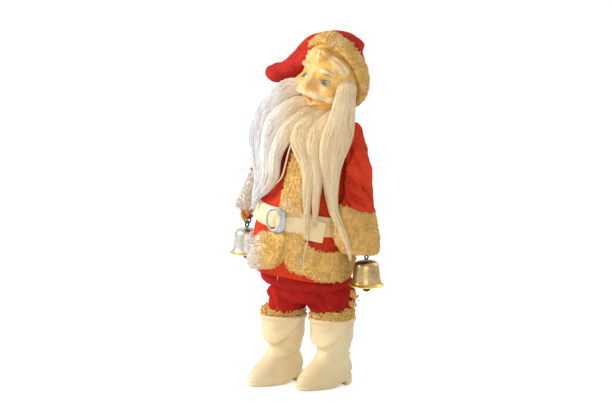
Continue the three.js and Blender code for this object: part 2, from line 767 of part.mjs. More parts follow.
// The cap: felt over the back of the skull that runs into a tail hanging to the doll's right.
function cap() {
  const tail = sweep(
    [
      [12, 9, 26],
      [-7, 8, 28],
      [-23, 4, 20],
      [-36, -2, 9],
      [-47, -8, 0],
      [-57, -13, -4],
      [-62, -14, -4],
    ],
    [9, 11, 11, 9, 7.6, 6.6, 3],
    [6, 9, 10, 9, 7.6, 6.6, 3],
    new THREE.Vector3(0, 1, 0),
    12,
    14,
  );
  const behind = BAND_WIDTH / 2 + FIT_GAP;
  const back = skullLayer(FELT_THICK).intersect(bandSlab(behind, 60));
  const bandSpace = skullLayer(BAND_THICK + FIT_GAP).intersect(bandSlab(-behind, behind));
  return back.add(tail.subtract(bandSpace)).subtract(headShape(FIT_GAP));
}

// Beard locks in the figure's frame: combed fibre hangs from the cheeks and chin over the chest

// Each lock: its line from the root down, heights from the head's middle, with half widths across
// and half depths front to back.
const BEARD_LOCKS = [
  {
    points: [
      [-17, -22, -10],
      [-25, -30, -26],
      [-32, -34, -48],
      [-34, -35, -68],
      [-33, -40, -86],
      [-29, -50, -104],
    ],
    widths: [7, 12, 13.5, 11.5, 8, 1.6],
    depths: [5, 7, 7, 6, 4.5, 1.6],
  },
  {
    points: [
      [-4, -29, -23],
      [-11, -35, -45],
      [-17, -40, -63],
      [-20, -46, -78],
      [-24, -53, -93],
      [-28, -55, -105],
    ],
    widths: [11, 13, 11, 7.6, 4.4, 1.4],
    depths: [5, 7, 6, 5, 3, 1.4],
  },
  {
    points: [
      [7, -29, -23],
      [7, -34, -44],
      [9, -37, -59],
      [15, -42, -73],
      [21, -48, -88],
      [23, -54, -106],
    ],
    widths: [12, 14.5, 13.5, 10.5, 7, 1.6],
    depths: [5, 7, 6, 5, 4, 1.4],
  },
  {
    points: [
      [23, -18, -8],
      [27, -27, -27],
      [28, -31, -48],
      [29, -34, -66],
      [30, -39, -83],
      [31, -45, -99],
    ],
    widths: [6, 11.5, 12, 9.5, 6, 1.6],
    depths: [5, 7, 6.5, 5, 4, 1.6],
  },
  {
    points: [
      [28, -30, -34],
      [32, -34, -56],
      [33, -38, -80],
      [37, -41, -105],
      [44, -42, -132],
    ],
    widths: [4, 4, 3.4, 2.6, 1],
    depths: [4, 3.6, 2.8, 2, 1],
  },
];

// The skull as the figure sees it, for what lies against the face.
function placedHead(body) {
  return placed(body, { turnZ: HEAD_TURN_DEG, x: NECK_X, y: NECK_Y, z: HEAD_Z });
}

function beard() {
  const facing = new THREE.Vector3(1, 0, 0);
  const locks = BEARD_LOCKS.map(({ points, widths, depths }) => {
    const line = points.map(([x, y, z]) => [x, y, z + HEAD_Z]);
    return sweep(line, widths, depths, facing, 11, 10);
  });
  const joined = locks.reduce((all, lock) => all.add(lock));
  const trim = coatBand(BELT_Z + 2, COLLAR_Z - 1, PLUSH_THICK + FIT_GAP);
  return joined.subtract(placedHead(headShape(FIT_GAP))).subtract(trim);
}

// Assembly

const doll = new THREE.Group();
const centred = new THREE.Group();
centred.position.set(CENTRE_SHIFT_X, CENTRE_SHIFT_Y, 0);
doll.add(centred);

const figure = new THREE.Group();
figure.rotation.y = LEAN_DEG * DEG;
const leanFoot = new THREE.Vector3(0, 0, LEAN_HEIGHT).applyAxisAngle(
  new THREE.Vector3(0, 1, 0),
  LEAN_DEG * DEG,
);
figure.position.set(-leanFoot.x, 0, LEAN_HEIGHT - leanFoot.z);
centred.add(figure);

function addTorso() {
  figure.add(mesh("torso_core", loft(torsoLevels()), STUFFING));
  figure.add(mesh("neck_post", neckPost(), WOOD));
  figure.add(mesh("coat", coat(), FELT_RED));
  figure.add(mesh("coat_hem_trim", hemRoll(0).subtract(loft(COAT, FIT_GAP)), PLUSH));
  const beltTop = BELT_Z + BELT_WIDTH / 2 + 3;
  const beltBottom = BELT_Z - BELT_WIDTH / 2 - 3;
  figure.add(mesh("front_trim_upper", frontTrim(beltTop, COLLAR_Z - 2), PLUSH));
  figure.add(mesh("front_trim_lower", frontTrim(HEM_TOP_Z + 1, beltBottom), PLUSH));
  figure.add(mesh("belt", belt(), VINYL));
  figure.add(mesh("belt_end", beltEnd(), VINYL));
  figure.add(mesh("belt_buckle", buckle(), SILVER_PLATE));
}

function addLegs() {
  centred.add(mesh("hip_block", hipBlock(), WOOD));
  centred.add(mesh("trousers", trousers(), TROUSER_RED));
  [1, -1].forEach((side) => {
    const name = side > 0 ? "left" : "right";
    const [x, y] = legCentre(side);
    centred.add(mesh(name + "_leg_post", legPost(side), WOOD));
    centred.add(mesh(name + "_trouser_fleece", fleeceEdge(side), FLEECE));
    const stand = new THREE.Group();
    stand.position.set(x, y, 0);
    stand.rotation.z = BOOT_TURN_DEG * DEG;
    stand.add(mesh(name + "_boot", boot(), BOOT_PLASTIC));
    stand.add(mesh(name + "_boot_plug", bootPlug(), WOOD));
    centred.add(stand);
  });
}

// The bell hangs upright from the ring, wherever the arm holds it.
function addBell(name, pivot) {
  const holder = new THREE.Group();
  holder.position.copy(pivot);
  holder.add(mesh(name + "_bell", bell(), BELL_BRASS));
  holder.add(mesh(name + "_bell_eye", bellEye(), STEEL_WIRE));
  const clapper = new THREE.Group();
  clapper.position.set(0, 0, BELL_TOP - CLAPPER_TOP);
  clapper.add(mesh(name + "_clapper_wire", clapperWire(), STEEL_WIRE));
  clapper.add(mesh(name + "_clapper_ball", clapperBall(), STEEL_WIRE));
  holder.add(clapper);
  centred.add(holder);
}

function addArm(side) {
  const index = side > 0 ? 0 : 1;
  const name = side > 0 ? "left" : "right";
  const spread = ARM_SPREAD[index];
  const arm = new THREE.Group();
  arm.position.set(side * ARM_PIVOT_X, ARM_PIVOT_Y[index], SHOULDER_Z);
  arm.rotation.x = -ARM_FORWARD_DEG[index] * DEG;
  arm.add(mesh(name + "_arm_core", armCore(side, spread), STUFFING));
  arm.add(mesh(name + "_sleeve", sleeve(side, spread, SLEEVE_LENGTH[index]), FELT_RED));
  const handOut = HAND_OUT[index];
  const cuffBody = cuff(side, spread, SLEEVE_LENGTH[index], CUFF_LENGTH[index]);
  const handBody = hand(side, spread, handOut);
  const pivot = bellPivot(side, spread, handOut);
  arm.add(mesh(name + "_cuff", cuffBody.subtract(handRoom(side, spread, handOut)), PLUSH));
  arm.add(mesh(name + "_hand", handBody.subtract(bellRing(pivot, FIT_GAP)), PAINTED_FACE));
  arm.add(mesh(name + "_bell_ring", bellRing(pivot), STEEL_WIRE));
  figure.add(arm);
  doll.updateMatrixWorld(true);
  addBell(name, centred.worldToLocal(arm.localToWorld(pivot)));
}

function addHead() {
  const turned = new THREE.Group();
  turned.position.set(NECK_X, NECK_Y, HEAD_Z);
  turned.rotation.z = HEAD_TURN_DEG * DEG;
  turned.add(mesh("head", head(), PAINTED_FACE));
  turned.add(mesh("hat", cap(), FELT_RED));
  turned.add(mesh("hat_trim", capBand(), PLUSH));
  figure.add(turned);
  figure.add(mesh("beard", beard(), BEARD_FIBRE));
}

addTorso();
addLegs();
addArm(1);
addArm(-1);
addHead();

export default doll;
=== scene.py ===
"""A Santa Claus display doll: cloth suit with pile trim, combed beard, moulded boots and two bells."""

import json
import math

import bmesh
import bpy
import numpy as np
from mathutils import Matrix, Vector, noise


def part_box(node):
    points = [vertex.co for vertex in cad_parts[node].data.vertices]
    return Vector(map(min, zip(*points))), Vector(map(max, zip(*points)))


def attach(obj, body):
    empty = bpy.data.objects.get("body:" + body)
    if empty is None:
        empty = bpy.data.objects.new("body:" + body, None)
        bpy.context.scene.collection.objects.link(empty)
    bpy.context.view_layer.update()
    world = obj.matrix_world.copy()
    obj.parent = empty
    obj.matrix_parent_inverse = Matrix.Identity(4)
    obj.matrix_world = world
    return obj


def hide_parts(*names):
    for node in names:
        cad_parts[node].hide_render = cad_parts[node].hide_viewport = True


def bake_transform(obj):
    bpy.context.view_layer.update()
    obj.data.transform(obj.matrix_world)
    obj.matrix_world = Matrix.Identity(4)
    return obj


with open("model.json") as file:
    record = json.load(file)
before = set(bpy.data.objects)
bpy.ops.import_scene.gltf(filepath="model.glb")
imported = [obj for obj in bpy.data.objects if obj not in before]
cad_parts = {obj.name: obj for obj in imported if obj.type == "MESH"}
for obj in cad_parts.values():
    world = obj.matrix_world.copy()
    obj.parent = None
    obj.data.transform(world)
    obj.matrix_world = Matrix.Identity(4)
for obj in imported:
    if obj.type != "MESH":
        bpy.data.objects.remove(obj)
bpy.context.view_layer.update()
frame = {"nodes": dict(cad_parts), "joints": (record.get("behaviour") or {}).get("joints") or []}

bl_info = {
    "name": "Santa Claus doll",
    "version": (1, 0, 0),
    "blender": (4, 5, 0),
    "location": "3D View > Sidebar > Doll",
    "description": "Builds the finished looks of a standing Santa Claus doll round its solids",
    "category": "Object",
}

MM = 0.001

# Where the solids stand, in millimetres, as the part's source has them
CENTRE = Vector((-1.84, 12.89, 0.0))
LEAN_HEIGHT = 80.0
LEAN_ANGLE = math.radians(6.0)
HEAD_MIDDLE = Vector((4.0, 2.0, 270.0))
HEAD_TURN = math.radians(-10.0)
HEAD_HALF = Vector((24.5, 26.5, 33.0))
SHOULDER_HEIGHT = 214.0
SHOULDER_OUT = 34.0
ARM_BACK = {"left": -3.0, "right": 0.0}
ARM_FORWARD = {"left": math.radians(5.0), "right": 0.0}
ARM_SPREAD = {"left": 0.0, "right": 12.0}
SLEEVE_LENGTH = {"left": 50.0, "right": 40.0}
CUFF_LENGTH = {"left": 35.5, "right": 30.0}
HAND_TOP = 69.0
HAND_OUT = {"left": 8.0, "right": 2.5}
SIDE = {"left": 1, "right": -1}
BOOT_OUT = 22.5
BOOT_STAGGER = 4.1
BOOT_TURN = math.radians(-20.0)
BELT_MIDDLE = 151.0
BELT_TILT = math.radians(4.0)

# The photograph's camera
VIEW_TURN = math.radians(32.0)
VIEW_RISE = math.radians(11.0)
VIEW_AIM = Vector((-3.28, 11.99, 156.7)) * MM
VIEW_WIDTH = 520.2 * MM
VIEW_AWAY = 6.0


def about_height(height, turn):
    """The matrix that turns about a level axis at one height over the middle."""
    return Matrix.Translation((0, 0, height)) @ turn @ Matrix.Translation((0, 0, -height))


STAND = Matrix.Scale(MM, 4) @ Matrix.Translation(CENTRE)
FIGURE = STAND @ about_height(LEAN_HEIGHT, Matrix.Rotation(LEAN_ANGLE, 4, "Y"))
HEAD = FIGURE @ Matrix.Translation(HEAD_MIDDLE) @ Matrix.Rotation(HEAD_TURN, 4, "Z")


def arm_place(name):
    """The arm's own place: its shoulder is the origin and the arm hangs down."""
    shoulder = Matrix.Translation((SIDE[name] * SHOULDER_OUT, ARM_BACK[name], SHOULDER_HEIGHT))
    return FIGURE @ shoulder @ Matrix.Rotation(-ARM_FORWARD[name], 4, "X")


def boot_place(name):
    """The boot's own place: its shaft is over the origin and the toe points forwards."""
    side = SIDE[name]
    stood = Matrix.Translation((side * (BOOT_OUT - 0.5), side * BOOT_STAGGER, 0))
    return STAND @ stood @ Matrix.Rotation(BOOT_TURN, 4, "Z")


def joint_place(name):
    """A joint's place at rest, with the scale of millimetres."""
    found = next(j for j in frame["joints"] if j["name"] == name)
    return Matrix.Translation(found["pos_m"]) @ Matrix.Scale(MM, 4)


# Colours and material nodes


def linear(code):
    """A hex sRGB colour as linear red, green, blue; a linear colour stays as it is."""
    if not isinstance(code, str):
        return tuple(code)
    parts = [int(code[i : i + 2], 16) / 255 for i in (1, 3, 5)]
    return tuple(c / 12.92 if c <= 0.04045 else ((c + 0.055) / 1.055) ** 2.4 for c in parts)


def rgba(colour):
    return (*linear(colour), 1.0)


def per_metre(size_mm):
    """The scale of a pattern whose features are that many millimetres across."""
    return 1.0 / (size_mm * MM)


def add(tree, kind, inputs=None, **settings):
    """Adds a node with its settings, and sets or links its inputs."""
    made = tree.nodes.new(kind)
    for key, value in settings.items():
        setattr(made, key, value)
    for key, value in (inputs or {}).items():
        if isinstance(value, bpy.types.NodeSocket):
            tree.links.new(value, made.inputs[key])
        else:
            made.inputs[key].default_value = value
    return made


def new_material(name):
    """A material with its shader node; returns it with its tree and that node."""
    made = bpy.data.materials.get(name)
    if made:
        bpy.data.materials.remove(made)
    made = bpy.data.materials.new(name)
    made.use_nodes = True
    return made, made.node_tree, made.node_tree.nodes["Principled BSDF"]


def blended(tree, factor, low, high):
    """The colour between two colours, by a factor."""
    made = add(tree, "ShaderNodeMix", data_type="RGBA")
    for socket, value in ((0, factor), (6, low), (7, high)):
        if isinstance(value, bpy.types.NodeSocket):
            tree.links.new(value, made.inputs[socket])
        else:
            made.inputs[socket].default_value = value
    return made.outputs[2]


def stretched(tree, factor, low, high):
    """A factor spread so that `low` becomes 0 and `high` 1."""
    inputs = {"Value": factor, "From Min": low, "From Max": high}
    return add(tree, "ShaderNodeMapRange", inputs, clamp=True).outputs["Result"]


def grain(tree, where, size_mm, detail=3.0, rough=0.6):
    """Noise whose features are that many millimetres across."""
    inputs = {"Vector": where, "Scale": per_metre(size_mm), "Detail": detail, "Roughness": rough}
    return add(tree, "ShaderNodeTexNoise", inputs).outputs["Fac"]


def raised(tree, shader, height, depth_mm, strength=1.0):
    """Bump of that many millimetres from a height pattern."""
    inputs = {"Height": height, "Distance": depth_mm * MM, "Strength": strength}
    tree.links.new(add(tree, "ShaderNodeBump", inputs).outputs["Normal"], shader.inputs["Normal"])


def coloured(tree, shader, colour):
    """Gives the shader its colour from a node."""
    tree.links.new(colour, shader.inputs["Base Color"])


def roughened(tree, shader, pattern, low, high):
    """Gives the shader a roughness that a pattern moves from low to high."""
    inputs = {"Value": pattern, "To Min": low, "To Max": high}
    tree.links.new(add(tree, "ShaderNodeMapRange", inputs).outputs["Result"], shader.inputs["Roughness"])


def surfaced(shader, values):
    """Sets constants on the shader's own sockets."""
    for name, value in values.items():
        shader.inputs[name].default_value = value


def either(tree, a, b):
    """The greater of two values, such as two kinds of ray."""
    return add(tree, "ShaderNodeMath", {0: a, 1: b}, operation="MAXIMUM").outputs[0]


def object_place(tree):
    return add(tree, "ShaderNodeTexCoord").outputs["Object"]


def squeezed(tree, where, scale, turn=(0, 0, 0)):
    """The place with each axis scaled, for a pattern that runs along one of them."""
    inputs = {"Vector": where, "Scale": scale, "Rotation": turn}
    return add(tree, "ShaderNodeMapping", inputs).outputs["Vector"]


def wool_felt(name, red, shade, thread_mm=0.9):
    """Brushed wool felt: a matt, slightly blotchy red with a soft nap that lights at the rim."""
    made, tree, shader = new_material(name)
    where = object_place(tree)
    cloudy = stretched(tree, grain(tree, where, 22.0, 3.0), 0.35, 0.7)
    mottle = stretched(tree, grain(tree, where, 2.6, 4.0), 0.3, 0.7)
    base = blended(tree, cloudy, rgba(shade), rgba(red))
    pale = tuple(min(1.0, c * 1.2 + 0.008) for c in linear(red))
    brushed = blended(tree, mottle, base, rgba(pale))
    threads = grain(tree, where, thread_mm, 5.0, 0.75)
    specks = blended(tree, stretched(tree, threads, 0.25, 0.75), base, brushed)
    coloured(tree, shader, specks)
    surfaced(
        shader,
        {
            "Roughness": 0.95,
            "Specular IOR Level": 0.12,
            "Sheen Weight": 0.12,
            "Sheen Roughness": 0.5,
            "Sheen Tint": rgba(pale),
        },
    )
    raised(tree, shader, threads, 0.35, 0.8)
    return made


def pile_fabric(name, gold, dark, grey, clump_mm=9.0, faded_and_lit_side=True):
    """Synthetic pile: matt fibres in gold, tan and aged grey that change from clump to clump."""
    made, tree, shader = new_material(name)
    where = object_place(tree)
    clumps = stretched(tree, grain(tree, where, clump_mm, 4.0, 0.6), 0.36, 0.58)
    faded = stretched(tree, grain(tree, where, 24.0, 2.0), 0.6, 0.8)
    single = stretched(tree, grain(tree, where, 1.3, 3.0, 0.6), 0.3, 0.75)
    base = blended(tree, clumps, rgba(dark), rgba(gold))
    aged = blended(tree, faded, base, rgba(grey))
    pale = tuple(min(1.0, c * 1.18 + 0.02) for c in linear(gold))
    tips = rgba(pale)
    if faded_and_lit_side:
        # The doll's right is painted paler and greyer with whitish tips: partly the plush's own fading,
        # partly a painted highlight where the strong window light falls on that side
        side = add(tree, "ShaderNodeSeparateXYZ", {"Vector": where}).outputs["X"]
        cloudy = add(tree, "ShaderNodeMath", {0: faded, 1: 0.012, 2: side}, operation="MULTIPLY_ADD")
        share = stretched(tree, cloudy.outputs[0], -0.006, -0.024)
        aged = blended(tree, share, aged, rgba(grey))
        tips = blended(tree, share, tips, rgba("#EFEAE4"))
    coloured(tree, shader, blended(tree, single, aged, tips))
    surfaced(
        shader,
        {
            "Roughness": 0.9,
            "Specular IOR Level": 0.15,
            "Sheen Weight": 0.25,
            "Sheen Roughness": 0.5,
        },
    )
    raised(tree, shader, single, 0.35, 0.6)
    return made


def combed_fibre(name, cream, shade, painted_highlight_white, along=None):
    """Combed synthetic wool: long pale fibres, soft and slightly glossy, streaked along their length.

    The streaks follow the piece's own UV map where `along` gives its scale, and else each fibre
    has its tone."""
    made, tree, shader = new_material(name)
    where = object_place(tree)
    if along:
        course = squeezed(tree, add(tree, "ShaderNodeTexCoord").outputs["UV"], along)
        inputs = {"Vector": course, "Scale": 1.0, "Detail": 4.0}
        streaks = stretched(tree, add(tree, "ShaderNodeTexNoise", inputs).outputs["Fac"], 0.3, 0.7)
    else:
        tone = add(tree, "ShaderNodeAttribute", attribute_name="tone").outputs["Fac"]
        streaks = stretched(tree, tone, 0.15, 0.6)
    bands = stretched(tree, grain(tree, squeezed(tree, where, (1, 1, 0.15)), 9.0, 2.0), 0.34, 0.66)
    # Towards the doll's right the fibre is painted whiter and cooler and its tan greyer: a painted highlight
    # where the strong window light falls
    side = add(tree, "ShaderNodeSeparateXYZ", {"Vector": where}).outputs["X"]
    lit_side_share = stretched(tree, side, 0.004, -0.022)
    base = blended(tree, lit_side_share, rgba(cream), rgba(painted_highlight_white))
    tan = blended(tree, lit_side_share, rgba(shade), rgba("#CFC7C6"))
    deep = blended(tree, bands, tan, base)
    coloured(tree, shader, blended(tree, streaks, deep, base))
    surfaced(
        shader,
        {
            "Roughness": 0.6,
            "Specular IOR Level": 0.25,
            "Sheen Weight": 0.25,
            "Anisotropic": 0.3,
        },
    )
    raised(tree, shader, streaks, 0.22, 0.6)
    return made


def painted_vinyl(name, attribute):
    """Hand-painted moulded plastic: even satin paint that is a little uneven, colours from brushwork."""
    made, tree, shader = new_material(name)
    where = object_place(tree)
    paint = add(tree, "ShaderNodeAttribute", attribute_name=attribute).outputs["Color"]
    cloudy = stretched(tree, grain(tree, where, 7.0, 4.0), 0.3, 0.75)
    dark = add(tree, "ShaderNodeMix", data_type="RGBA", blend_type="MULTIPLY")
    tree.links.new(paint, dark.inputs[6])
    dark.inputs[7].default_value = rgba("#E6C89A")
    dark.inputs[0].default_value = 1.0
    coloured(tree, shader, blended(tree, cloudy, dark.outputs[2], paint))
    roughened(tree, shader, grain(tree, where, 3.0, 3.0), 0.34, 0.55)
    shader.inputs["Specular IOR Level"].default_value = 0.4
    raised(tree, shader, grain(tree, where, 1.6, 4.0), 0.12, 0.5)
    return made


def boot_plastic(name, cream, shade):
    """Blow-moulded polyethylene: ivory, waxy and satin, yellowed in patches."""
    made, tree, shader = new_material(name)
    where = object_place(tree)
    yellowed = stretched(tree, grain(tree, where, 24.0, 3.0), 0.35, 0.7)
    specks = stretched(tree, grain(tree, where, 1.4, 4.0), 0.62, 0.78)
    base = blended(tree, yellowed, rgba(cream), rgba(shade))
    coloured(tree, shader, blended(tree, specks, base, rgba(shade)))
    roughened(tree, shader, grain(tree, where, 5.0, 3.0), 0.36, 0.52)
    shader.inputs["Specular IOR Level"].default_value = 0.4
    raised(tree, shader, grain(tree, where, 6.0, 3.0), 0.25, 0.35)
    return made


def soft_vinyl(name, cream, shade):
    """Calendered vinyl strip: smooth ivory with faint lengthwise rub marks and yellowed edges."""
    made, tree, shader = new_material(name)
    where = object_place(tree)
    rubbed = stretched(tree, grain(tree, squeezed(tree, where, (0.12, 0.12, 1.0)), 2.5, 2.0), 0.1, 0.9)
    cloudy = stretched(tree, grain(tree, where, 18.0, 3.0), 0.3, 0.6)
    base = blended(tree, cloudy, rgba(shade), rgba(cream))
    coloured(tree, shader, blended(tree, rubbed, base, rgba(cream)))
    surfaced(shader, {"Roughness": 0.42, "Specular IOR Level": 0.45})
    raised(tree, shader, grain(tree, where, 0.7, 3.0), 0.06, 0.5)
    return made


def plated_metal(name, pale, dull, rough_low, rough_high, tarnish_mm=6.0):
    """Thin bright plating on pressed metal: clear reflections, broken by tarnish clouds and pits."""
    made, tree, shader = new_material(name)
    where = object_place(tree)
    clouds = grain(tree, where, tarnish_mm, 5.0, 0.65)
    pits = stretched(tree, grain(tree, where, 0.9, 3.0), 0.66, 0.76)
    base = blended(tree, stretched(tree, clouds, 0.36, 0.66), rgba(pale), rgba(dull))
    coloured(tree, shader, blended(tree, pits, base, rgba(dull)))
    roughened(tree, shader, clouds, rough_low, rough_high)
    shader.inputs["Metallic"].default_value = 1.0
    raised(tree, shader, clouds, 0.08, 0.4)
    return made


def turned_wood(name, pale, dark):
    """Plain turned softwood: warm tan with close grain that runs up the peg."""
    made, tree, shader = new_material(name)
    where = squeezed(tree, object_place(tree), (1.0, 1.0, 0.08))
    lines = stretched(tree, grain(tree, where, 1.6, 4.0), 0.3, 0.7)
    coloured(tree, shader, blended(tree, lines, rgba(dark), rgba(pale)))
    shader.inputs["Roughness"].default_value = 0.7
    raised(tree, shader, lines, 0.1, 0.5)
    return made


def cotton_stuffing(name, pale, dark):
    """Raw cotton wadding: dull off-white with lint."""
    made, tree, shader = new_material(name)
    lint = stretched(tree, grain(tree, object_place(tree), 2.0, 5.0), 0.3, 0.7)
    coloured(tree, shader, blended(tree, lint, rgba(dark), rgba(pale)))
    shader.inputs["Roughness"].default_value = 0.95
    raised(tree, shader, lint, 0.4, 0.8)
    return made


# Shape helpers. Shapes are made in millimetres in a frame of their own and then put in place.


class Levels:
    """Rows of sizes along a length, the first number of each its place, read smoothly in between."""

    def __init__(self, rows):
        self.rows = np.array(rows, float)
        self.slopes = np.gradient(self.rows, self.rows[:, 0], axis=0)

    def __call__(self, place):
        s = self.rows[:, 0]
        place = min(max(place, s[0]), s[-1])
        i = min(max(int(np.searchsorted(s, place)) - 1, 0), len(s) - 2)
        width = s[i + 1] - s[i]
        t = (place - s[i]) / width
        low = (1 + 2 * t) * (1 - t) ** 2 * self.rows[i] + t * (1 - t) ** 2 * width * self.slopes[i]
        high = t * t * (3 - 2 * t) * self.rows[i + 1] + t * t * (t - 1) * width * self.slopes[i + 1]
        return low + high


def eased(value, low, high):
    """0 below low and 1 above high, with a soft passage between."""
    t = min(max((value - low) / (high - low), 0.0), 1.0)
    return t * t * (3 - 2 * t)


def hill(value, middle, width):
    """A rounded hill of height 1 round the middle."""
    return math.exp(-(((value - middle) / width) ** 2))


def fuller(value, power):
    """A sine or cosine raised to a power that keeps its sign; below 1 it squares a round section."""
    return math.copysign(abs(value) ** power, value)


def angle_gap(a, b):
    """The signed difference of two angles, from minus to plus half a turn."""
    return (a - b + math.pi) % math.tau - math.pi


def lumps(point, size_mm, seed=0.0):
    """Smooth noise from -1 to 1 with lumps that many millimetres across."""
    return noise.noise(Vector(point) / size_mm + Vector((seed, 3.7 * seed, -seed)))


def crease(point, start, end, width):
    """How near a point is to a line between two points: 1 on it, falling to 0 beyond the width."""
    a = Vector(start)
    line = Vector(end) - a
    t = min(max((point - a).dot(line) / line.length_squared, 0.0), 1.0)
    away = (point - a - line * t).length
    return math.exp(-((away / width) ** 2)) * (0.35 + 0.65 * math.sin(math.pi * (0.12 + 0.76 * t)))


def wrapped(around, along, place, shut=True):
    """A grid rolled into a tube. place(turn, length) gives each point, both from 0 to 1."""
    bm = bmesh.new()
    bm.loops.layers.uv.new("UVMap")
    bmesh.ops.create_grid(bm, x_segments=around, y_segments=along, size=0.5, calc_uvs=True)
    for v in bm.verts:
        v.co = place(v.co.x + 0.5, v.co.y + 0.5)
    bmesh.ops.remove_doubles(bm, verts=bm.verts, dist=0.0005)
    if shut:
        open_edges = [e for e in bm.edges if e.is_boundary]
        if open_edges:
            bmesh.ops.holes_fill(bm, edges=open_edges, sides=0)
            bmesh.ops.triangulate(bm, faces=[f for f in bm.faces if len(f.verts) > 4])
    return bm


def swept(points, widths, depths, across, around=12, along=24, ridges=0.0, seed=0.0):
    """A tapering body along a curve through points, with half widths along `across`."""
    line = Levels([[i, *p] for i, p in enumerate(points)])
    wide = Levels([[i, w] for i, w in enumerate(widths)])
    deep = Levels([[i, d] for i, d in enumerate(depths)])
    last_point = len(points) - 1
    last_width = len(widths) - 1

    def place(turn, length):
        middle = Vector(line(length * last_point)[1:])
        before = Vector(line(max(length - 0.01, 0) * last_point)[1:])
        after = Vector(line(min(length + 0.01, 1) * last_point)[1:])
        way = (after - before).normalized()
        side = (Vector(across) - way * way.dot(Vector(across))).normalized()
        other = way.cross(side)
        angle = math.tau * turn
        ridge = 1.0
        if ridges:
            ridge += ridges * math.sin(9 * angle + 3 * seed + 1.2 * math.sin(5 * length + seed))
            ridge += 0.6 * ridges * math.sin(17 * angle - seed + 2 * math.sin(3 * length))
        w = wide(length * last_width)[1] * ridge
        d = deep(length * last_width)[1] * ridge
        return middle + side * (w * math.cos(angle)) + other * (d * math.sin(angle))

    return wrapped(around, along, place)


def joined(*parts):
    """Several bmeshes as one."""
    whole = parts[0]
    for part in parts[1:]:
        spare = bpy.data.meshes.new("spare")
        part.to_mesh(spare)
        part.free()
        whole.from_mesh(spare)
        bpy.data.meshes.remove(spare)
    return whole


def softened(bm, factor):
    """Smooths a skin by one step."""
    axes = {"use_axis_x": True, "use_axis_y": True, "use_axis_z": True}
    bmesh.ops.smooth_vert(bm, verts=bm.verts, factor=factor, **axes)


def merged(bm, voxel_mm, smooth):
    """Overlapping closed bodies as one skin, remade at an even grain."""
    mesh = bpy.data.meshes.new("rough")
    bmesh.ops.recalc_face_normals(bm, faces=bm.faces)
    bm.to_mesh(mesh)
    bm.free()
    holder = bpy.data.objects.new("rough", mesh)
    bpy.context.scene.collection.objects.link(holder)
    remesh = holder.modifiers.new("remesh", "REMESH")
    remesh.mode = "VOXEL"
    remesh.voxel_size = voxel_mm
    graph = bpy.context.evaluated_depsgraph_get()
    skin = bpy.data.meshes.new_from_object(holder.evaluated_get(graph))
    made = bmesh.new()
    made.from_mesh(skin)
    bpy.data.objects.remove(holder)
    bpy.data.meshes.remove(mesh)
    bpy.data.meshes.remove(skin)
    for _ in range(smooth):
        softened(made, 0.5)
    return made


def finished(name, bm, place, material, slot, body=None, replaces=()):
    """Puts a shape in its place and makes it a piece of the doll."""
    bm.transform(place)
    bmesh.ops.recalc_face_normals(bm, faces=bm.faces)
    mesh = bpy.data.meshes.new(name)
    bm.to_mesh(mesh)
    bm.free()
    mesh.materials.append(material)
    mesh.shade_smooth()
    return registered(name, mesh, slot, body, replaces)


def registered(name, mesh, slot, body=None, replaces=()):
    """Links a mesh as a piece that rides on a body and stands for solids; its slot is not used."""
    made = bpy.data.objects.new(name, mesh)
    bpy.context.scene.collection.objects.link(made)
    if replaces:
        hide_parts(*replaces)
    if body:
        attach(made, body)
    return made


def thickened(made, thick_mm, edge_mm, offset=1.0):
    """Gives a strap its thickness and softens its edges."""
    wall = made.modifiers.new("thickness", "SOLIDIFY")
    wall.thickness = thick_mm * MM
    wall.offset = offset
    wall.use_even_offset = True
    soft = made.modifiers.new("edges", "BEVEL")
    soft.width = edge_mm * MM
    soft.segments = 2
    soft.limit_method = "ANGLE"
    soft.angle_limit = math.radians(50)
    return made


def fibres(name, paths, thickness, material, slot, body=None, replaces=()):
    """Many thin tapering fibres as one mesh, from their points and half thicknesses in metres."""
    curve = bpy.data.curves.new(name, "CURVE")
    curve.dimensions = "3D"
    curve.bevel_depth = 1.0
    curve.bevel_resolution = 0
    curve.use_fill_caps = True
    count = paths.shape[1]
    row = np.ones((count, 4))
    for path, radii in zip(paths, thickness):
        spline = curve.splines.new("POLY")
        spline.points.add(count - 1)
        row[:, :3] = path
        spline.points.foreach_set("co", row.ravel())
        spline.points.foreach_set("radius", radii)
    holder = bpy.data.objects.new(name, curve)
    mesh = bpy.data.meshes.new_from_object(holder)
    bpy.data.objects.remove(holder)
    bpy.data.curves.remove(curve)
    mesh.name = name
    # One tone for each fibre, which its material may read
    tones = np.random.default_rng(len(paths)).random(len(paths))
    tone = mesh.attributes.new("tone", "FLOAT", "POINT")
    tone.data.foreach_set("value", np.repeat(tones, len(mesh.vertices) // len(paths)))
    mesh.materials.clear()
    mesh.materials.append(material)
    mesh.shade_smooth()
    return registered(name, mesh, slot, body, replaces)


def rooted(mesh, count, random):
    """Random places spread evenly over a mesh, with the way out of it at each."""
    mesh.calc_loop_triangles()
    corners = np.empty(len(mesh.loop_triangles) * 3, np.int32)
    mesh.loop_triangles.foreach_get("vertices", corners)
    points = np.empty(len(mesh.vertices) * 3)
    mesh.vertices.foreach_get("co", points)
    triangles = points.reshape(-1, 3)[corners.reshape(-1, 3)]
    edge_a = triangles[:, 1] - triangles[:, 0]
    edge_b = triangles[:, 2] - triangles[:, 0]
    out = np.cross(edge_a, edge_b)
    area = np.linalg.norm(out, axis=1)
    chosen = random.choice(len(area), count, p=area / area.sum())
    a, b = random.random((2, count, 1))
    over = (a + b) > 1
    a, b = np.where(over, 1 - a, a), np.where(over, 1 - b, b)
    places = triangles[chosen, 0] + a * edge_a[chosen] + b * edge_b[chosen]
    return places, out[chosen] / area[chosen, None]


